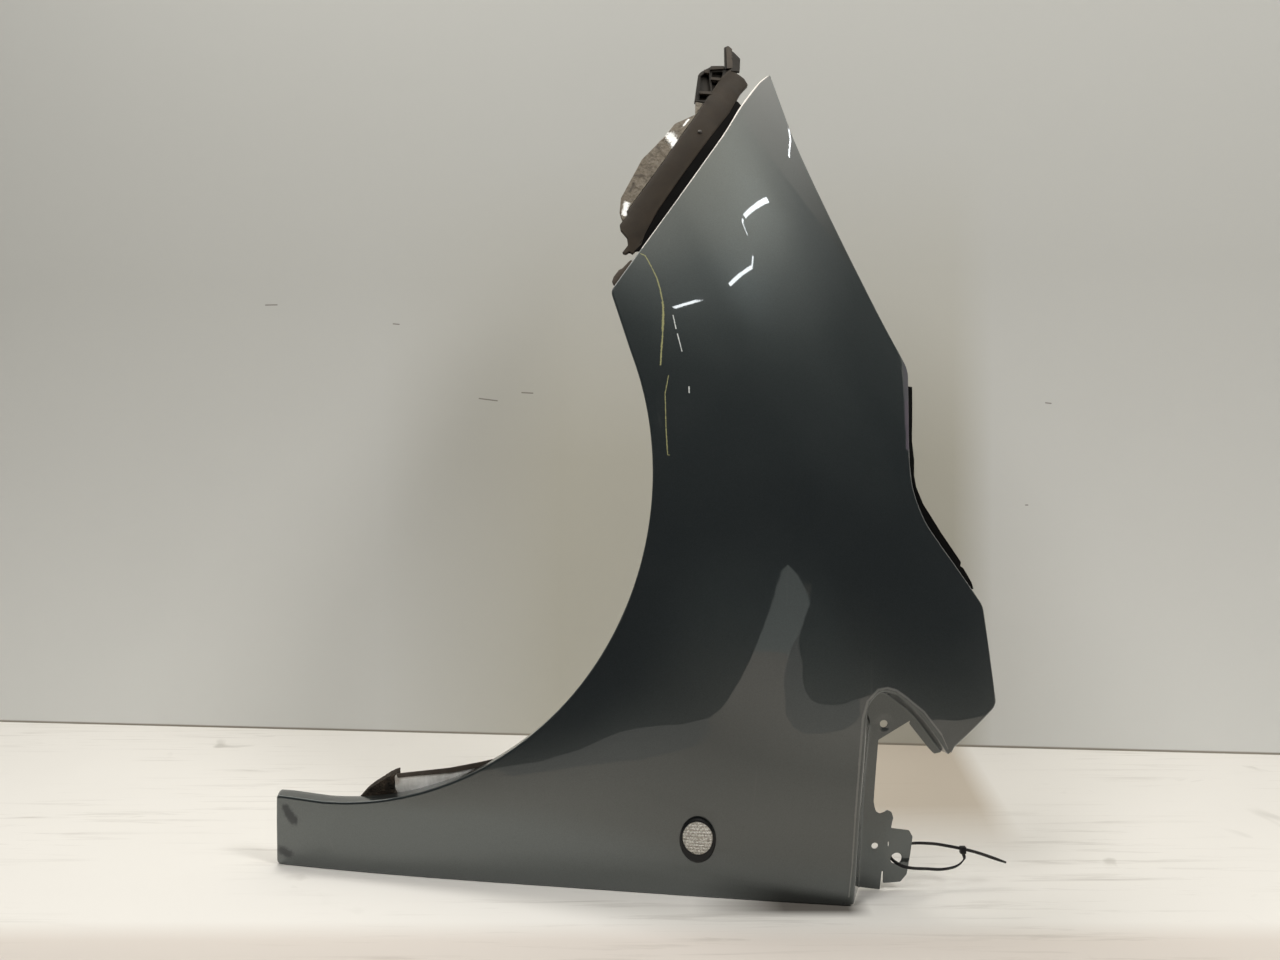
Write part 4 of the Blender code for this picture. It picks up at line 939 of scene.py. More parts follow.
    f = Finish("Clear lens", groups, Transmission_Weight=0.2, IOR=1.49)
    g = f.g
    cells = g.add("TexVoronoi", {"Vector": f.place, "Scale": 560.0}).outputs["Distance"]
    lines = g.add("TexWave", {"Vector": f.place, "Scale": 95.0, "Distortion": 0.8, "Detail": 2.0},
                  bands_direction="Z").outputs["Fac"]
    haze = g.noise(f.place, 90.0, 4.0, 0.6)
    height = g.math("ADD", cells, g.times(lines, 0.4))
    # Painted highlights: the beads and ribs lighten the lens's colour towards near-white, where their relief catches
    # the light
    colour = g.blend(g.remap(height, 0.3, 0.95), (1.0, 0.97, 0.89), (0.47, 0.435, 0.37))
    made["lens"] = f.dress(colour, g.remap(haze, 0.35, 0.65, 0.08, 0.22), height, 0.9, 0.0009)

    for key, name, constants, fine, one, other, rough in (
            ("chrome", "Plated reflector", {"Metallic": 1.0}, (150.0, 4.0), (0.90, 0.90, 0.88), (0.70, 0.69, 0.66),
             (0.12, 0.30)),
            ("amber", "Amber glass", {"Transmission_Weight": 0.6}, (200.0, 3.0), (0.85, 0.36, 0.05),
             (0.70, 0.26, 0.03), (0.06, 0.16))):
        f = Finish(name, groups, **constants)
        haze = f.g.noise(f.place, *fine)
        made[key] = f.dress(f.g.blend(haze, one, other), f.g.remap(haze, 0.3, 0.7, *rough), None)

    f = Finish("Worn spring steel", groups)
    g = f.g
    brushed = g.add("Mapping", {"Vector": f.place, "Scale": (1.0, 1.0, 0.08)}).outputs[0]
    lines = g.noise(brushed, 700.0, 3.0)
    grime = g.remap(g.noise(f.place, 75.0, 5.0, 0.7), 0.42, 0.6)
    made["steel"] = f.dress(g.blend(grime, (0.16, 0.15, 0.14), (0.07, 0.055, 0.045)),
                            g.remap(lines, 0.3, 0.7, 0.35, 0.6), lines, 0.15, 0.0002,
                            g.remap(grime, 0.0, 1.0, 0.9, 0.2))

    f = Finish("Crinkled foil", groups)
    g = f.g
    patch = g.noise(f.place, 55.0, 3.0, 0.6, 0.7)
    speck = g.noise(f.place, 300.0, 5.0, 0.75)
    colour = g.blend(g.remap(speck, 0.36, 0.64), (0.085, 0.066, 0.046), (0.20, 0.170, 0.132))
    colour = g.blend(g.remap(patch, 0.36, 0.46), (0.06, 0.046, 0.032), colour)
    # Painted highlights where the crinkled foil catches the light
    colour = g.blend(marks(f, FOIL_PAINTED_HIGHLIGHTS, 0.6), colour, (0.98, 0.97, 0.94))
    made["foil"] = f.dress(colour, g.remap(speck, 0.3, 0.7, 0.28, 0.48), speck, 0.35, 0.0006,
                           g.remap(patch, 0.40, 0.66, 0.15, 0.45))

    f = Finish("Crumbling foam", groups)
    g = f.g
    cells = g.add("TexVoronoi", {"Vector": f.place, "Scale": 480.0}).outputs["Distance"]
    lump = g.noise(f.place, 70.0, 6.0, 0.7, 0.6)
    made["foam"] = f.dress(g.blend(g.remap(lump, 0.35, 0.65), (0.012, 0.010, 0.008), (0.060, 0.045, 0.032)),
                           g.remap(cells, 0.0, 0.6, 0.88, 1.0), g.math("ADD", cells, lump), 1.0, 0.0015)

    f = Finish("Chalky primer", groups)
    g = f.g
    cloud = g.noise(f.place, 34.0, 5.0, 0.65, 0.5)
    dirt = f.use("dust", Scale=60.0, Cover=0.7)
    wear = f.use("wear", Low=0.52, High=0.60)
    colour = g.blend(g.remap(cloud, 0.38, 0.62), (0.62, 0.61, 0.57), (0.90, 0.88, 0.84))
    colour = g.blend(dirt, colour, (0.30, 0.26, 0.20))
    made["primer"] = f.dress(g.blend(g.times(wear, 0.6), colour, (0.22, 0.14, 0.09)),
                             g.remap(cloud, 0.3, 0.7, 0.55, 0.8), g.noise(f.place, 300.0, 4.0), 0.3, 0.0004)
    return made


SHARED = {}


def finishes(context):
    """The materials, built once from the settings."""
    if not SHARED:
        SHARED["groups"] = build_groups()
        SHARED.update(build_finishes(SHARED["groups"], context.scene.fender_look))
    return SHARED


# ------------------------------------------------------------------ the panel

def rim_rows(pitch):
    """The flanged outline from the notch end round to the door end: points, depth, lip and level."""
    def sizes(depth, lip, flat=0.0):
        return lambda p: np.array((depth, lip, flat))

    def ledge(p):
        """The hood flange, whose lip turns out into a ledge between two heights."""
        if not LEDGE_LOW <= p[1] < LEDGE_HIGH:
            return np.array((HOOD_FLANGE, -LIP, 0.0))
        if p[1] < LEDGE_TURN:
            arc = math.sin(math.pi * (p[1] - LEDGE_LOW) / 0.036)
            return np.array((HOOD_FLANGE, 0.0015 + 0.0065 * arc, 0.0))
        t = min((p[1] - LEDGE_TURN) / 0.12, 1.0)
        return np.array((HOOD_FLANGE, HOOD_LEDGE + (HOOD_LEDGE_END - HOOD_LEDGE) * t, 0.0))

    top, end = math.radians(20.0), math.radians(-90.0)
    arc = [np.array((ARCH_X + ARCH_R * math.cos(t), ARCH_Z + ARCH_R * math.sin(t)))
           for t in np.linspace(top, end, 201)]
    arch = straight(BUMPER_CORNER, arc[0])[:-1] + arc + straight(arc[-1], LEG_TOP)[1:]
    rows = join([
        (straight(NOTCH_END, PILLAR_CORNER), sizes(PILLAR_FLANGE, -LIP)),
        (straight(PILLAR_CORNER, HOOD_LOW), sizes(PILLAR_FLANGE, -LIP)),
        (spline(HOOD_EDGE_LOW), ledge),
        (spline(HOOD_EDGE_HIGH), sizes(HOOD_FLANGE, -LIP)),
        (spline(LAMP_EDGE), sizes(LAMP_FLANGE, -LIP)),
        (straight(LAMP_LOW, BUMPER_CORNER), sizes(LAMP_FLANGE, -LIP)),
        (arch, sizes(ARCH_FLANGE, -LIP)),
        (straight(LEG_TOP, LEG_LOW), sizes(LEG_FLANGE, -LIP)),
        (straight(LEG_LOW, DOOR_END), sizes(DOOR_FLANGE, -LIP, 1.0)),
    ], [0.008, 0.006, 0.008, 0.006, 0.004, 0.005, 0.004, 0.005])
    return thin(rows, pitch)


def thin(rows, pitch):
    """Drop points closer than the pitch, except where the line or a flange size turns."""
    out = [rows[0]]
    for i in range(1, len(rows) - 1):
        far = np.linalg.norm(rows[i][0] - out[-1][0])
        a = rows[i][0] - out[-1][0]
        b = rows[i + 1][0] - rows[i][0]
        turn = abs(a[0] * b[1] - a[1] * b[0]) / max(np.linalg.norm(a) * np.linalg.norm(b), 1e-12)
        jump = np.abs(rows[i + 1][1] - rows[i][1]).max() > 0.0006
        if far > pitch or (far > 0.0008 and (turn > 0.06 or jump)):
            out.append(rows[i])
    return out + [rows[-1]]


def wall_profile(width, deep, start, end, r1=0.0034, r2=0.0026, n=7):
    """Steps across and down from the skin's rear edge to the plate, with both bends rounded."""
    t0, t1 = math.atan(start), math.atan(end)
    low, high = 0.1, 1.52
    for _ in range(40):
        a = (low + high) / 2
        w = width - r1 * (math.sin(a) - math.sin(t0)) - r2 * (math.sin(a) - math.sin(t1))
        d = deep - r1 * (math.cos(t0) - math.cos(a)) - r2 * (math.cos(t1) - math.cos(a))
        if math.atan2(d, w) > a:
            low = a
        else:
            high = a
    out = []
    for t in np.linspace(t0, a, n):
        out.append((r1 * (math.sin(t) - math.sin(t0)), r1 * (math.cos(t0) - math.cos(t))))
    u, v = out[-1]
    out += [(u + w * k / 4, v + d * k / 4) for k in (1, 2, 3)]
    for t in np.linspace(a, t1, n):
        out.append((u + w + r2 * (math.sin(a) - math.sin(t)), v + d + r2 * (math.cos(t) - math.cos(a))))
    return out


def add_wall_and_plate(sheet, rear, rear_ids):
    """Add the wall behind the rear edge and the bolt plate at its foot, with its holes and slit."""
    wall, steps = [], []
    for i, p in enumerate(rear):
        out = outward(rear, i)
        out /= np.linalg.norm(out)
        width = WALL_LOW + (WALL_MID - WALL_LOW) * min(p[1] / 0.120, 1.0)
        if i > 0 and (p[1] > 0.185 or p[0] > 0.222):
            width = WALL_NOTCH
        if i == 0:
            out = np.array((1.0, 0.0))
        wall.append(p + width * out)
    wall[-1] = np.array(WALL_END)
    wall[0] = np.array((wall[0][0], 0.0030))
    for _ in range(3):
        wall[1:-1] = [(wall[i - 1] + 2 * wall[i] + wall[i + 1]) / 4 for i in range(1, len(wall) - 1)]
    for p, q in zip(rear, wall):
        start, foot = skin_point(*p), plate_point(*q)
        across = q - p
        width = np.linalg.norm(across)
        across = across / width
        sx, sz = slopes(*p)
        shape = wall_profile(width, foot.y - start.y, sx * across[0] + sz * across[1], PLATE_LEAN * across[1])
        steps.append([start + Vector((across[0] * u, v, across[1] * u)) for u, v in shape[1:-1]] + [foot])
    last = rear_ids
    for k in range(len(steps[0])):
        here = [sheet.add(steps[i][k]) for i in range(len(rear))]
        sheet.strip(last, here)
        last = here
    edge = rounded([tuple(wall[0])] + PLATE_EDGE + [tuple(wall[-1])], 0.0011, 0.003, 3)
    first = min(range(len(edge)), key=lambda k: np.linalg.norm(edge[k] - wall[0]))
    edge = edge[first:] + edge[:first]
    final = min(range(len(edge)), key=lambda k: np.linalg.norm(edge[k] - wall[-1]))
    border = wall[::-1] + edge[1:final]
    border_ids = last[::-1] + [None] * (final - 1)
    holes = [ring_points(x, z, r, r, HOLE_SIDES) for x, z, r in (NOTCH_HOLE, PLATE_HOLE, TAB_HOLE)]
    x, z, a, b = TAB_SLIT
    holes.append([np.array(q) for q in ((x - a, z - b), (x + a, z - b), (x + a, z + b), (x - a, z + b))])
    border_ids += [None] * sum(len(h) for h in holes)
    sheet.patch([border] + holes, border_ids, PLATE_PITCH, plate_point)


def add_return_flange(sheet, rows, line, rim_ids, bend):
    """Add the return flange round the rim: a rolled bend, a wall and a lip."""
    count = len(rows)
    stations, facing = [], []
    for i, (p, (depth, lip, flat)) in enumerate(rows):
        out = outward(line, i)
        out /= np.linalg.norm(out)
        fade = min(1.0, (count - 1 - i) / 6 + 0.3, i / 6 + 0.4)
        depth, lip, flat = max(float(depth) * fade, bend * 1.6), float(lip) * fade, float(flat)
        sx, sz = slopes(*p)
        side = Vector((out[0], sx * out[0] + sz * out[1], out[1])).normalized()
        inboard = Vector((-sx, 1.0, -sz)).normalized()
        level = Vector((-sx, 1.0, 0.0)).normalized()
        inboard = (inboard * (1 - flat) + level * flat).normalized()
        side = (side * (1 - flat) + Vector((0, 0, -1)) * flat).normalized()
        if p[0] < -0.385:
            splay = 0.40 * float(max(0.0, min(1.0, (p[1] - 0.020) / 0.05)))
            inboard = (inboard + splay * Vector((-1.0, 0.0, 0.0))).normalized()
        base = sheet.points[rim_ids[i]] + bend * side if i in (0, count - 1) else skin_point(*p)
        turns = [math.radians(t) for t in (22.5, 45.0, 67.5, 90.0)]
        offsets = [(bend * (math.sin(t) - 1), bend * (1 - math.cos(t))) for t in turns]
        tip = min(abs(lip), 0.001) * (1 if lip > 0 else -1)
        offsets += [(0.0, (bend + depth) / 2), (0.0, depth - 0.0009), (tip * 0.3, depth - 0.0002),
                    (tip, depth + 0.0001), (lip * 0.6, depth + LIP_DROP * 0.6), (lip, depth + LIP_DROP)]
        stations.append([base + a * side + b * inboard for a, b in offsets])
        facing.append([(side * math.sin(t) - inboard * math.cos(t)).normalized() for t in turns])
    last = rim_ids
    for k in range(len(stations[0])):
        here = [sheet.add(stations[i][k], facing[i][k] if k < 4 and 0 < i < count - 1 else None)
                for i in range(count)]
        sheet.strip(last, here)
        last = here


class FENDER_OT_panel(bpy.types.Operator):
    """Build the painted sheet: the skin, its rolled flanges, the rear wall and the bolt plate"""

    bl_idname = "fender.panel"
    bl_label = "Painted panel"

    def execute(self, context):
        paint = finishes(context)
        sizes = context.scene.fender_sizes
        bend = sizes.bend
        rows = rim_rows(sizes.rim_pitch)
        line = [p for p, _ in rows]
        count = len(rows)
        rim = [line[i] - bend * outward(line, i) for i in range(count)]
        rim[0] = np.array(NOTCH_END)
        rim[-1] = np.array((DOOR_END[0], DOOR_END[1] + bend))
        rear = [p for p, _ in thin([(p, np.zeros(1)) for p in spline(REAR_EDGE)], sizes.rim_pitch * 0.7)]
        rear[0] = rim[-1]

        sheet = Sheet()
        rim_ids = [sheet.add(skin_point(*p), skin_normal(*p)) for p in rim]
        rear_ids = [rim_ids[-1]] + [sheet.add(skin_point(*p), skin_normal(*p)) for p in rear[1:-1]] + [rim_ids[0]]
        opening = ring_points(LAMP_X, LAMP_Z, HOLE_A, HOLE_B, 64)
        opening_ids = [None] * len(opening)
        loop = rim + rear[1:-1]
        crease = [(CHAMFER_X + CHAMFER_LEAN * (z - CHAMFER_Z) + side, z) for z in np.arange(0.446, 0.532, 0.004)
                  for side in (-0.0011, 0.0011)]
        sheet.patch([loop, opening], rim_ids + rear_ids[1:-1] + opening_ids, sizes.skin_pitch,
                    skin_point, skin_normal, crease)

        add_wall_and_plate(sheet, rear, rear_ids)
        add_return_flange(sheet, rows, line, rim_ids, bend)
        panel = sheet.thicken("painted_panel", sizes.sheet, [paint["paint"], paint["inside"], paint["edge"]])
        finish_piece(panel, "body_paint", "fender_panel")
        deep = flange_end(HOOD_FLANGE)
        plate("hood_strip", HOOD_BLACK_STRIP, 0.0006, 0.003, deep, deep + 0.0022, paint["seal"], "rubber", round_by=0.0005)
        return {"FINISHED"}


# ------------------------------------------------------------------ the small pieces

class FENDER_OT_bracket(bpy.types.Operator):
    """Build the headlamp bracket with its pockets, blade, pin, foil pad and bumper clip, and a near-black ledge that is
    painted shade for the recess behind the headlamp edge
    """

    bl_idname = "fender.bracket"
    bl_label = "Headlamp bracket"

    def execute(self, context):
        paint = finishes(context)
        shelf, front = flange_end(LAMP_FLANGE), BRACKET_FRONT
        noise.seed_set(FOLDS)

        def crowned(x, z):
            """The bar's face, a little full along its middle."""
            t = (x - 0.0575) * 0.848 - (z - 0.7950) * 0.530
            return behind(x, z, front + 0.0010 * min(abs(t) / 0.012, 1.3) ** 2)

        def crumple(u, v):
            """Flat facets between sharp folds, as foil takes when it is pressed round padding."""
            p = Vector((u, 0.0, v)) * 150
            spots = noise.voronoi(p + 0.5 * noise.noise_vector(p * 0.7))
            tilt = noise.noise_vector(spots[1][0] * 3.1)
            fold = (p - spots[1][0]).dot(tilt) * 0.9
            swell = noise.noise(p * 0.25)
            fine = noise.noise(p * 3.7) * 0.12
            return behind(u, v, front + 0.0030 + 0.0011 * max(-1.4, min(1.4, fold + swell + fine)))

        plate("bracket_bar", BRACKET, 0.0012, 0.004, crowned, front + 0.0065, paint["bracket"], "black_plastic",
              ["headlamp_bracket"], round_by=0.0008)
        plate("bracket_head", BRACKET_HEAD, 0.0010, 0.003, front + 0.0040, front + BRACKET_DEEP, paint["box"],
              "black_plastic", holes=[rounded(p, 0.0008, 0.002) for p in HEAD_POCKETS], round_by=0.0006)
        plate("head_floor", BRACKET_HEAD, 0.0010, 0.004, front + 0.0088, front + 0.0098, paint["box"],
              "black_plastic", pitch=0.006, round_by=0.0003)
        for k, rib in enumerate(HEAD_RIBS):
            plate("head_rib_%d" % k, rib, 0.0005, 0.002, front + 0.0016, front + 0.0072, paint["bracket"],
                  "black_plastic", pitch=0.003, round_by=0.0004)
        # A near-black ledge behind the bar, painted shade for the deep recess between the bar and the headlamp edge
        plate("bracket_ledge_shade", BRACKET_LEDGE, 0.0015, 0.004, shelf, shelf + LEDGE_DEEP, paint["seal"],
              "black_plastic", pitch=0.006, round_by=0.0005)

        x, z, r = PIN
        rings = [list(range(k * RIVET_SIDES, (k + 1) * RIVET_SIDES)) for k in range(len(RIVET_HEAD))]
        verts = [behind(x + r * ratio * math.cos(2 * math.pi * i / RIVET_SIDES),
                        z + r * ratio * math.sin(2 * math.pi * i / RIVET_SIDES), front - 0.0003 - lift)
                 for ratio, lift in RIVET_HEAD for i in range(RIVET_SIDES)]
        pin = tidy(make("bracket_rivet", verts, bridge(rings)[:-1], [paint["steel"]]))
        finish_piece(pin, "spring_steel", "bracket_pin")

        for name, outline, corner, near, far, key, slot, nodes, pitch, edge in (
                ("bracket_tongue", BLADE, 0.0006, 0.0026, 0.0032, "box", "spring_steel", ["bracket_blade"],
                 0.002, 0.0003),
                ("tongue_face", BLADE_FACE, 0.0006, 0.0010, 0.0026, "brown", "spring_steel", [], 0.002, 0.0003),
                ("tongue_stop", BLADE_BLOCK, 0.0008, 0.0012, 0.0048, "box", "black_plastic", [], 0.003, 0.0005)):
            plate(name, outline, corner, 0.003, front + near, front + far, paint[key], slot, nodes,
                  pitch=pitch, round_by=edge)
        foil = plate("foil_wrap", FOIL, 0.0009, 0.002, crumple, front + FOIL_DEEP, paint["foil"], "foil_padding",
                     ["foil_pad"], pitch=0.0011, round_by=0.0004, sharp=24.0)
        plate("bumper_catch", BUMPER_CLIP, 0.001, 0.002, shelf, shelf + CLIP_DEEP, paint["brown"], "clip_plastic",
              ["bumper_clip"], pitch=0.003, round_by=0.0006)
        return {"FINISHED"}


class FENDER_OT_stay(bpy.types.Operator):
    """Build the folded stay and the crumbling foam block behind the sill leg"""

    bl_idname = "fender.stay"
    bl_label = "Sill stay and foam"

    def execute(self, context):
        paint = finishes(context)
        front = flange_end(ARCH_FLANGE)
        left, right = STAY[3][0], STAY[4][0]

        def pressed(x, z):
            rib = math.exp(-((x - STAY_RIB_X) / 0.008) ** 2) * max(0.0, min(1.0, (0.098 - abs(z - 0.045)) / 0.02 - 2.2))
            return behind(x, z, front + 0.0002 + 0.0016 * rib)

        holes = [ring_points(x, z, r, r, sides) for x, z, r, sides in STAY_HOLES]
        plate("stay_plate", STAY, 0.003, 0.005, pressed, lambda x, z: pressed(x, z) + Vector((0, STAY_SHEET, 0)),
              paint["primer"], "primer_grey", ["sill_stay"], holes=holes, pitch=0.005, round_by=0.0002)
        verts, rings = [], []
        for i in range(FOOT_STEPS + 1):
            rings.append(list(range(len(verts), len(verts) + len(FOOT_SECTION))))
            for depth, z in FOOT_SECTION:
                p = behind(left + (right - left) * i / FOOT_STEPS, 0.0, front + depth)
                verts.append(Vector((p.x, p.y, z)))
        foot = tidy(make("stay_foot", verts, bridge(rings), [paint["primer"]]))
        finish_piece(foot, "primer_grey")
        plate("stay_rim", STAY_RIM, 0.0010, 0.004, front - 0.0008, front + 0.0001, paint["brown"], "primer_grey",
              pitch=0.004, round_by=0.0003)

        def rough(x, z):
            p = Vector((x * 90, 0.0, z * 90))
            return behind(x, z, front + 0.0002 + 0.0022 * abs(noise.fractal(p, 0.8, 2.0, 5)))

        def ragged(x, z):
            p = Vector((x * 70, 3.0, z * 70))
            return behind(x, z, front + FOAM_DEEP - 0.003 * abs(noise.fractal(p, 0.8, 2.0, 5)))

        outline = []
        for p in rounded(FOAM, 0.003, 0.0015):
            bite = 0.0010 * noise.noise(Vector((p[0] * 260, 1.0, p[1] * 260)))
            outline.append(p + (np.array(FOAM_MIDDLE) - p) * (abs(bite) / 0.03))
        foam = slab("foam_block", outline, rough, ragged, [paint["foam"]], (), 0.0022, 0.0006, 60.0)
        finish_piece(foam, "dark_foam", "arch_foam")
        return {"FINISHED"}


class FENDER_OT_repeater(bpy.types.Operator):
    """Build the side repeater: bezel, ribbed lens, reflector and bulb holder"""

    bl_idname = "fender.repeater"
    bl_label = "Side repeater"

    def execute(self, context):
        paint = finishes(context)
        nodes = frame["nodes"]
        low, gap = BEZEL_LOW, LENS_GAP
        face = [(BEZEL_A - a, BEZEL_B - b, low + h, rise) for a, b, h, rise in BEZEL_FACE]
        seat, hole = (LENS_A + gap, LENS_B + gap), (HOLE_A + 0.0006, HOLE_B + 0.0006)
        bezel = revolve("repeater_ring", face + [
            (*seat, low + 0.0034, LENS_RISE), (*seat, low + 0.0012, LENS_RISE),
            (*hole, low + 0.0012, 0.0), (*hole, low, 0.0)], [paint["black"]], True)
        finish_piece(bezel, "black_plastic", "repeater_bezel")

        seat = low + 0.0012 + gap
        dome = seat + 0.0032
        outer = [(LENS_A * r, LENS_B * r, dome - 0.0018 * r ** 2.6, LENS_RISE)
                 for r in (0.0, *np.linspace(0.04, 0.98, 34))]
        rows = outer + [(LENS_A, LENS_B, dome - 0.0026, LENS_RISE), (LENS_A, LENS_B, seat, LENS_RISE),
                        (LENS_A - 0.002, LENS_B - 0.002, seat, LENS_RISE)]
        inner = [(LENS_A * 0.8 * r, LENS_B * 0.8 * r, 0.0, LENS_RISE) for r in np.linspace(0.999, 0.0, 15)]
        for k, (p, q, _, rise) in enumerate(inner):
            rib = 0.00035 if k % 2 else 0.0
            rows.append((p, q, dome - 0.0020 - 0.0010 * (p / LENS_A) ** 2 - rib, rise))

        def relief(dx, dz, turn):
            """Beads round the border of the lens and flat ribs across its middle."""
            out = math.hypot(dx / LENS_A, dz / LENS_B)
            if out > BEAD_START:
                return 0.00030 * math.cos(BEADS * turn) * math.cos((out - BEAD_START) * 47)
            rib = 0.00026 * math.cos(2 * math.pi * dz / LENS_RIB)
            return rib if out < 0.5 else 0.00028 * math.cos(dx * 2600) * math.cos(dz * 2600)

        lens = revolve("repeater_glass", rows, [paint["lens"]], False, 144, relief)
        finish_piece(lens, "clear_lens", "repeater_lens")

        body = revolve("bulb_socket", [(r, r, -h, 0.0) for r, h in SOCKET] + PLUG, [paint["black"]], False, 48)
        finish_piece(body, "black_plastic", "repeater_holder")

        for name, key in (("repeater_reflector", "chrome"), ("repeater_bulb", "amber"),
                          ("repeater_clip", "steel"), ("repeater_gasket", "rubber")):
            for place in nodes[name].material_slots:
                place.material = paint[key]
        return {"FINISHED"}


class FENDER_OT_tie(bpy.types.Operator):
    """Build the cable tie looped through the tab: toothed strap, locking head and cut tail"""

    bl_idname = "fender.tie"
    bl_label = "Cable tie"

    def execute(self, context):
        paint = finishes(context)
        x, z, _ = TAB_HOLE
        centre = Vector((x, PLATE_Y + PLATE_LEAN * z + TAB_SLOPE * (x - TAB_BEND_X), z))
        path = [Vector(p) for p in spline([centre + Vector(p) for p in TIE_PATH], 0.0005)]
        verts, rings = [], []
        total = 0.0
        for i, p in enumerate(path):
            along = (path[min(i + 1, len(path) - 1)] - path[max(i - 1, 0)]).normalized()
            wide = (TIE_LEAN - along * TIE_LEAN.dot(along)).normalized()
            thick = along.cross(wide)
            total += (p - path[i - 1]).length if i else 0.0
            left = len(path) - 1 - i
            taper = 1.0 if left > TAIL else 0.5 + 0.5 * left / TAIL
            tooth = TOOTH if (total / TOOTH_PITCH) % 1.0 < 0.5 else 0.0
            half, deep = taper * TIE_WIDTH / 2, TIE_THICK / 2
            rings.append(list(range(len(verts), len(verts) + len(STRAP_SECTION))))
            for a, b, cut in STRAP_SECTION:
                verts.append(p + wide * a * half + thick * (b * deep + (tooth if cut else 0.0)))
        strap = tidy(make("tie_strap", verts, bridge(rings), [paint["nylon"]], sharp=30.0), 0.000001, 30.0)
        finish_piece(strap, "black_plastic", "cable_tie")

        head = centre + Vector(TIE_HEAD)
        bm = bmesh.new()
        bmesh.ops.create_cube(bm, size=1.0)
        for v in bm.verts:
            v.co *= Vector(TIE_BLOCK)
        bmesh.ops.bevel(bm, geom=bm.edges[:], offset=TIE_BEVEL, segments=3, affect="EDGES", profile=0.6)
        top = [f for f in bm.faces if f.normal.x > 0.95 and f.calc_area() > 1e-6]
        bmesh.ops.inset_region(bm, faces=top, thickness=TIE_LIP)
        bmesh.ops.translate(bm, verts=list({v for f in top for v in f.verts}), vec=(-TIE_SOCKET, 0, 0))
        for v in bm.verts:
            v.co += head + SHIFT
        mesh = bpy.data.meshes.new("tie_head")
        bm.to_mesh(mesh)
        bm.free()
        mesh.materials.append(paint["nylon"])
        mesh.polygons.foreach_set("use_smooth", [True] * len(mesh.polygons))
        mesh.set_sharp_from_angle(angle=math.radians(35))
        block = bpy.data.objects.new("tie_head", mesh)
        context.scene.collection.objects.link(block)
        finish_piece(block, "black_plastic")
        return {"FINISHED"}


# ------------------------------------------------------------------ the stage

def glow(name, colour, strength):
    """A material that only shines, and its emission shader."""
    mat = bpy.data.materials.new(name)
    mat.use_nodes = True
    g = Graph(mat.node_tree)
    mat.node_tree.nodes.remove(mat.node_tree.nodes["Principled BSDF"])
    light = g.add("Emission", {"Color": rgba(colour), "Strength": strength})
    g.put(mat.node_tree.nodes["Material Output"].inputs[0], light.outputs[0])
    return mat, light


def stage_mesh(name, points, faces, mat, unseen=()):
    """A mesh of the stage. Rays of the kinds in unseen pass it by."""
    mesh = bpy.data.meshes.new(name)
    mesh.from_pydata([tuple(p) for p in points], [], faces)
    mesh.materials.append(mat)
    obj = bpy.data.objects.new(name, mesh)
    bpy.context.scene.collection.objects.link(obj)
    for ray in unseen:
        setattr(obj, "visible_" + ray, False)
    return obj


def card(name, points, mat):
    """A flat stage card that only mirror rays meet, as real studio flags stay out of the frame."""
    return stage_mesh(name, points, [list(range(len(points)))], mat, UNSEEN)


def plain(name, colour, change):
    """A matt stage finish with clouded colour, its graph and its shader."""
    mat = bpy.data.materials.new(name)
    mat.use_nodes = True
    g = Graph(mat.node_tree)
    shader = mat.node_tree.nodes["Principled BSDF"]
    shader.inputs["Roughness"].default_value = 0.85
    shader.inputs["Specular IOR Level"].default_value = 0.1
    cloud = g.remap(g.noise(g.place(), 1.3, 4.0, 0.5, 0.3), 0.3, 0.7)
    return mat, g, shader, g.blend(cloud, rgba(colour, 1.0 - change), rgba(colour))


def floor_finish(look, groups):
    """Pale floor with grime and scrapes, a painted shadow beyond the panel, a painted contact shadow at its rear edge
    and painted shade in bands towards the camera.
    """
    mat, g, shader, tone = plain("Pale floor", tuple(look.floor_colour), 0.04)
    place = g.place()
    streaks = g.add("Mapping", {"Vector": place, "Rotation": (0.0, 0.0, 0.35), "Scale": (1.0, 14.0, 1.0)}).outputs[0]
    grime = g.times(g.remap(g.noise(streaks, 5.0, 6.0, 0.65, 0.5), 0.54, 0.72),
                    g.remap(g.noise(place, 3.0, 3.0), 0.42, 0.58))
    tone = g.blend(g.times(grime, 0.5), tone, (0.42, 0.38, 0.33))
    # Painted shadow: the floor beyond the panel is darkened as if daylight came from behind the camera's left
    x, y, _ = g.split(place)
    slope = g.math("SUBTRACT", x, g.times(y, 0.165))
    shade = g.times(g.remap(slope, 0.452, 0.415), g.remap(y, 0.0, 0.17))
    shade = g.times(g.times(shade, g.remap(x, 0.10, 0.20)), 0.9)
    tone = g.blend(shade, tone, (0.50, 0.43, 0.345))
    scrapes = g.add("Group", {"Scale": 9.0, "Amount": 0.6}, node_tree=groups["scuffs"]).outputs[0]
    tone = g.blend(scrapes, tone, (0.45, 0.42, 0.37))
    # Painted contact shadow: a dark line where the rear edge touches the floor
    near = g.math("ABSOLUTE", g.math("ADD", y, 0.135))
    foot = g.times(g.remap(near, 0.027, 0.010), g.times(g.remap(x, 0.06, 0.15), g.remap(x, 0.235, 0.212)))
    tone = g.blend(g.times(foot, 0.9), tone, (0.06, 0.05, 0.04))
    # Painted shade: the floor darkens and lightens in bands from the camera to the panel
    bands = [(at, t, t * 0.95, t * 0.92) if t < 1.0 else (at, 1.0, 1.0, 1.0) for at, t in FLOOR_PAINTED_SHADE]
    front = g.ramp(g.remap(y, -0.85, 0.0), bands)
    g.put(shader.inputs["Base Color"], g.blend(1.0, tone, front, "MULTIPLY"))
    return mat


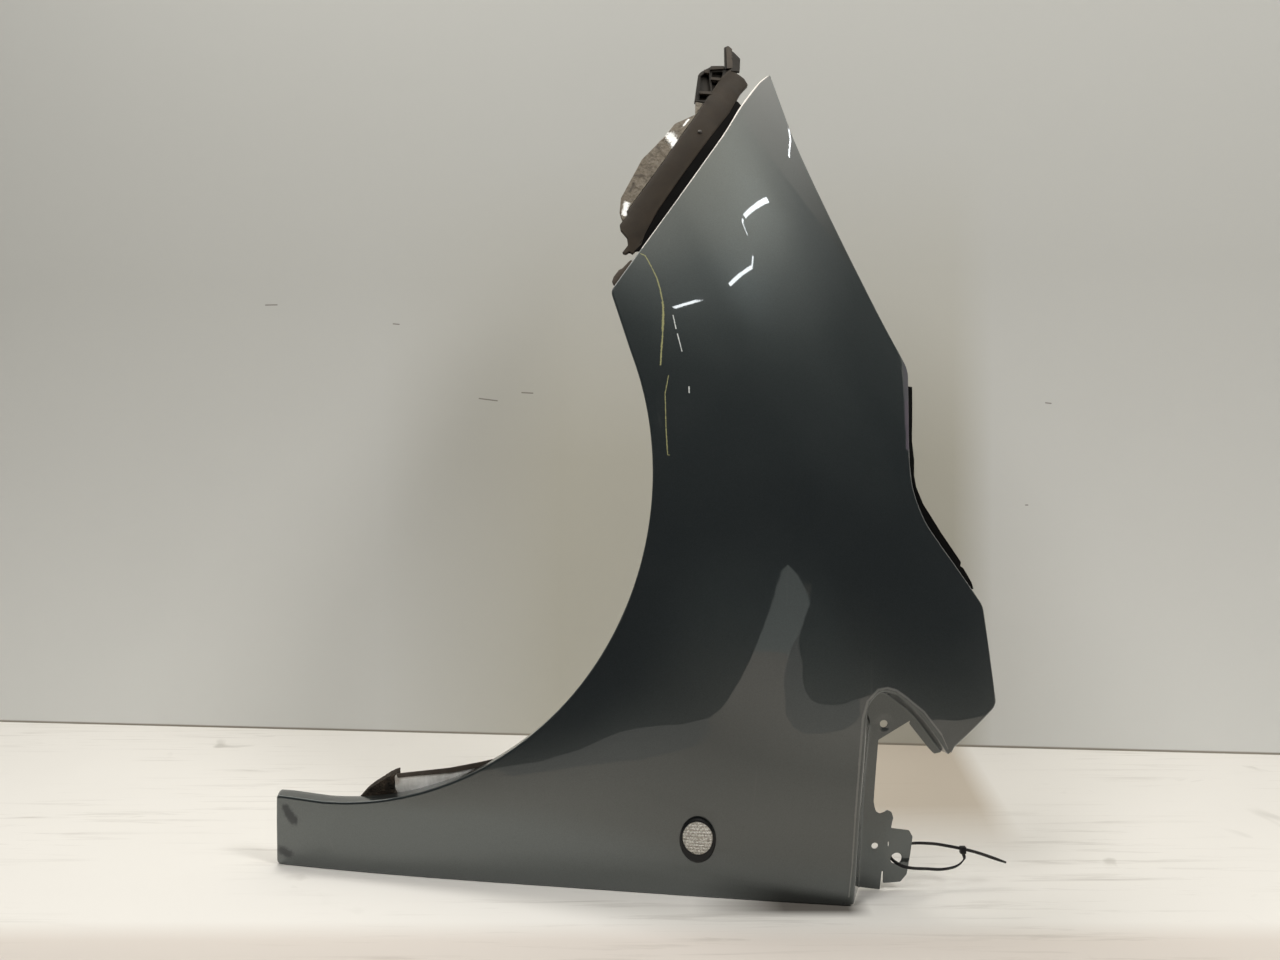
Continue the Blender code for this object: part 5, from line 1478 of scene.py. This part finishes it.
def wall_finish(look, groups):
    """Pale wall, darker towards the top by painted shade, with the panel's shadow painted on it and a few spots, which
    rays from behind pass through.
    """
    mat, g, shader, tone = plain("Pale wall", tuple(look.wall_colour), 0.06)
    x, _, high = g.split(g.place())
    # Painted shade: the wall darkens from its foot towards the top
    tone = g.blend(g.remap(high, 0.0, 0.75), tone, tuple(look.wall_top_painted_shade))
    # Painted shadow of the panel on the wall to its left
    shade = g.times(g.remap(x, -0.42, -0.12), g.remap(x, 0.56, 0.50))
    shade = g.times(shade, g.remap(high, 0.95, 0.45))
    tone = g.blend(g.times(shade, 0.9), tone, (0.45, 0.43, 0.360))
    tone = g.blend(g.remap(high, 0.0042, 0.0022), tone, (0.30, 0.27, 0.22))
    for (ax, az), (bx, bz) in WALL_SPOTS:
        spot = g.add("Group", {"Start": (ax, 0.0, az), "End": (bx, 0.0, bz), "Width": 0.0013},
                     node_tree=groups["line"]).outputs[0]
        tone = g.blend(g.times(spot, 0.7), tone, (0.10, 0.08, 0.06))
    g.put(shader.inputs["Base Color"], tone)
    away = g.add("NewGeometry").outputs["Backfacing"]
    mixed = g.add("MixShader", {0: away, 1: shader.outputs[0], 2: g.add("BsdfTransparent").outputs[0]})
    g.put(mat.node_tree.nodes["Material Output"].inputs[0], mixed.outputs[0])
    return mat


class FENDER_OT_stage(bpy.types.Operator):
    """Set the pale floor and wall, the light tent, the lamps and the camera"""

    bl_idname = "fender.stage"
    bl_label = "Studio stage"

    def execute(self, context):
        look = context.scene.fender_stage
        scene = context.scene
        groups = finishes(context)["groups"]
        w = FLOOR_HALF
        stage_mesh("floor", [(-w, -w, 0), (w, -w, 0), (w, w, 0), (-w, w, 0)], [(0, 1, 2, 3)],
                   floor_finish(look, groups))
        reach, up = WALL_RIGHT - WALL_LEFT, Vector((0.0, 0.0, look.wall_height))
        low, high = WALL_LEFT - reach, WALL_RIGHT + reach
        stage_mesh("wall", [low, high, high + up, low + up], [(0, 1, 2, 3)], wall_finish(look, groups))

        # The light tent: dim round the horizon and bright overhead
        mat, light = glow("Light tent", (1.0, 1.0, 1.0), 1.0)
        g = Graph(mat.node_tree)
        rise = g.math("DIVIDE", g.split(g.place())[2], look.tent_radius)
        g.put(light.inputs["Color"], g.ramp(rise, TENT_TONES))
        bm = bmesh.new()
        bmesh.ops.create_uvsphere(bm, u_segments=64, v_segments=48, radius=look.tent_radius)
        bmesh.ops.delete(bm, geom=[v for v in bm.verts if v.co.z < -0.01], context="VERTS")
        mesh = bpy.data.meshes.new("light_tent")
        bm.to_mesh(mesh)
        bm.free()
        mesh.materials.append(mat)
        tent = bpy.data.objects.new("light_tent", mesh)
        scene.collection.objects.link(tent)
        tent.visible_camera = False

        # Flags and boards that the clear coat mirrors, just above the floor so that none lies in another
        dark, _ = glow("Dark flag", (0.040, 0.047, 0.056), 1.0)
        grey, _ = glow("Grey flag", (0.46, 0.45, 0.43), 1.0)
        pale, _ = glow("Pale board", (0.70, 0.76, 0.72), 1.0)
        shine, _ = glow("Bright board", (1.0, 0.97, 0.92), look.back_strength)
        tube, _ = glow("Ceiling tube", (0.93, 0.98, 1.0), look.tube_strength)
        for name, points, mat, lift in (
                ("flag_left", DARK_LEFT, dark, 0.002), ("flag_right", DARK_RIGHT, dark, 0.002),
                ("flag_grey_left", GREY_LEFT, grey, 0.004), ("flag_grey_right", GREY_RIGHT, grey, 0.004),
                ("board_far", PALE_FAR, pale, 0.003)):
            card(name, [(px, py, lift) for px, py in points], mat)
        card("board_tip", [(px, BOARD_TIP_Y, pz + TIP_LIFT) for px, pz in PALE_TIP], pale)
        card("board_back", BOARD_BACK, shine)
        # The board overhead fades towards its right end
        warm, light = glow("Warm board", (1.0, 0.96, 0.88), 1.0)
        g = Graph(warm.node_tree)
        x, y, _ = g.split(g.place())
        far = g.times(g.remap(y, 0.3, 0.9), g.remap(x, 2.4, 1.6, 0.0, 0.75))
        g.put(light.inputs["Strength"], g.most(g.remap(x, 2.1, 1.15, 0.15, 1.05), far))
        card("board_top", BOARD_TOP, warm)
        for k, (start, end, half) in enumerate(TUBES):
            p, q = Vector((*start, CEILING_Z)), Vector((*end, CEILING_Z))
            side = Vector((-(q - p).y, (q - p).x, 0.0)).normalized() * half
            card("tube_%d" % k, [p + side, q + side, q - side, p - side], tube)

        for (name, place, size), power in zip(LAMPS, (look.key_power, look.fill_power, look.top_power)):
            data = bpy.data.lights.new(name, "AREA")
            data.shape = "DISK"
            data.size = size
            data.energy = power
            lamp = bpy.data.objects.new(name, data)
            lamp.location = place
            lamp.rotation_euler = (AIM - Vector(place)).to_track_quat("-Z", "Y").to_euler()
            lamp.visible_glossy = False
            scene.collection.objects.link(lamp)

        world = bpy.data.worlds.new("Pale surround")
        world.use_nodes = True
        sky = world.node_tree.nodes["Background"]
        sky.inputs["Color"].default_value = (0.60, 0.605, 0.595, 1.0)
        sky.inputs["Strength"].default_value = 1.0
        scene.world = world
        scene.view_settings.view_transform = "Standard"

        data = bpy.data.cameras.new("camera")
        data.sensor_width = 36.0
        data.lens = LENS
        data.clip_start = 0.02
        camera = bpy.data.objects.new("camera", data)
        camera.location = CAMERA_AT
        camera.rotation_euler = (math.pi / 2, 0.0, 0.0)
        scene.collection.objects.link(camera)
        scene.camera = camera
        return {"FINISHED"}


# ------------------------------------------------------------------ settings

class FenderSizes(bpy.types.PropertyGroup):
    """Lengths of the sheet and the fineness of its mesh"""

    sheet: bpy.props.FloatProperty(name="Sheet", description="Thickness of the pressed sheet",
                                   default=SHEET, unit="LENGTH")
    bend: bpy.props.FloatProperty(name="Bend", description="Outside radius of the rolled edge",
                                  default=BEND, unit="LENGTH")
    skin_pitch: bpy.props.FloatProperty(name="Skin pitch", description="Spacing of the points on the skin",
                                        default=0.0075, unit="LENGTH")
    rim_pitch: bpy.props.FloatProperty(name="Rim pitch", description="Spacing of the points round the outline",
                                       default=0.0042, unit="LENGTH")


class FenderLook(bpy.types.PropertyGroup):
    """Colours and gloss of the painted panel"""

    paint_colour: bpy.props.FloatVectorProperty(name="Paint", description="Colour of the metallic base coat",
                                                default=(0.088, 0.099, 0.097), subtype="COLOR", size=3)
    paint_metal: bpy.props.FloatProperty(name="Metal", description="How metallic the base coat is", default=0.88)
    paint_rough: bpy.props.FloatProperty(name="Flake spread", description="Roughness of the flake layer", default=0.31)
    flake_size: bpy.props.FloatProperty(name="Flake", description="Size of a metal flake", default=0.0004,
                                        unit="LENGTH")
    coat_ior: bpy.props.FloatProperty(name="Coat index", description="Refractive index of the clear coat",
                                      default=1.60)


class FenderStage(bpy.types.PropertyGroup):
    """Colours and lamps of the studio"""

    floor_colour: bpy.props.FloatVectorProperty(name="Floor", description="Colour of the floor",
                                                default=(0.80, 0.765, 0.71), subtype="COLOR", size=3)
    wall_colour: bpy.props.FloatVectorProperty(name="Wall foot", description="Colour of the wall at its foot",
                                               default=(0.74, 0.735, 0.70), subtype="COLOR", size=3)
    # Painted shade: the wall's colour higher up is darker than at its foot
    wall_top_painted_shade: bpy.props.FloatVectorProperty(name="Wall top", description="Colour of the wall higher up",
                                            default=(0.51, 0.505, 0.47), subtype="COLOR", size=3)
    wall_height: bpy.props.FloatProperty(name="Wall height", description="Height of the wall", default=1.45,
                                         unit="LENGTH")
    tent_radius: bpy.props.FloatProperty(name="Tent", description="Radius of the light tent", default=4.0,
                                         unit="LENGTH")
    tube_strength: bpy.props.FloatProperty(name="Tubes", description="Brightness of the ceiling tubes", default=17.0)
    back_strength: bpy.props.FloatProperty(name="Back board", description="Brightness of the board behind the wall",
                                           default=3.0)
    key_power: bpy.props.FloatProperty(name="Key", description="Power of the key lamp", default=26.0, unit="POWER")
    fill_power: bpy.props.FloatProperty(name="Fill", description="Power of the fill lamp", default=25.0, unit="POWER")
    top_power: bpy.props.FloatProperty(name="Top", description="Power of the top lamp", default=22.0, unit="POWER")


class FENDER_PT_sidebar(bpy.types.Panel):
    """Lists the settings and the steps that build the fender"""

    bl_label = "Car fender"
    bl_idname = "FENDER_PT_sidebar"
    bl_space_type = "VIEW_3D"
    bl_region_type = "UI"
    bl_category = "Fender"

    def draw(self, context):
        for group_name in ("fender_sizes", "fender_look", "fender_stage"):
            settings = getattr(context.scene, group_name)
            box = self.layout.box()
            for key in settings.__annotations__:
                box.prop(settings, key)
        for step in STEPS:
            self.layout.operator(step.bl_idname)


STEPS = (FENDER_OT_stage, FENDER_OT_panel, FENDER_OT_bracket, FENDER_OT_stay, FENDER_OT_repeater, FENDER_OT_tie)
CLASSES = (FenderSizes, FenderLook, FenderStage) + STEPS + (FENDER_PT_sidebar,)


def register():
    for cls in CLASSES:
        bpy.utils.register_class(cls)
    bpy.types.Scene.fender_sizes = bpy.props.PointerProperty(type=FenderSizes)
    bpy.types.Scene.fender_look = bpy.props.PointerProperty(type=FenderLook)
    bpy.types.Scene.fender_stage = bpy.props.PointerProperty(type=FenderStage)


def unregister():
    del bpy.types.Scene.fender_stage
    del bpy.types.Scene.fender_look
    del bpy.types.Scene.fender_sizes
    for cls in reversed(CLASSES):
        bpy.utils.unregister_class(cls)


def main():
    register()
    for step in STEPS:
        area, name = step.bl_idname.split(".")
        getattr(getattr(bpy.ops, area), name)()


if __name__ == "__main__":
    main()
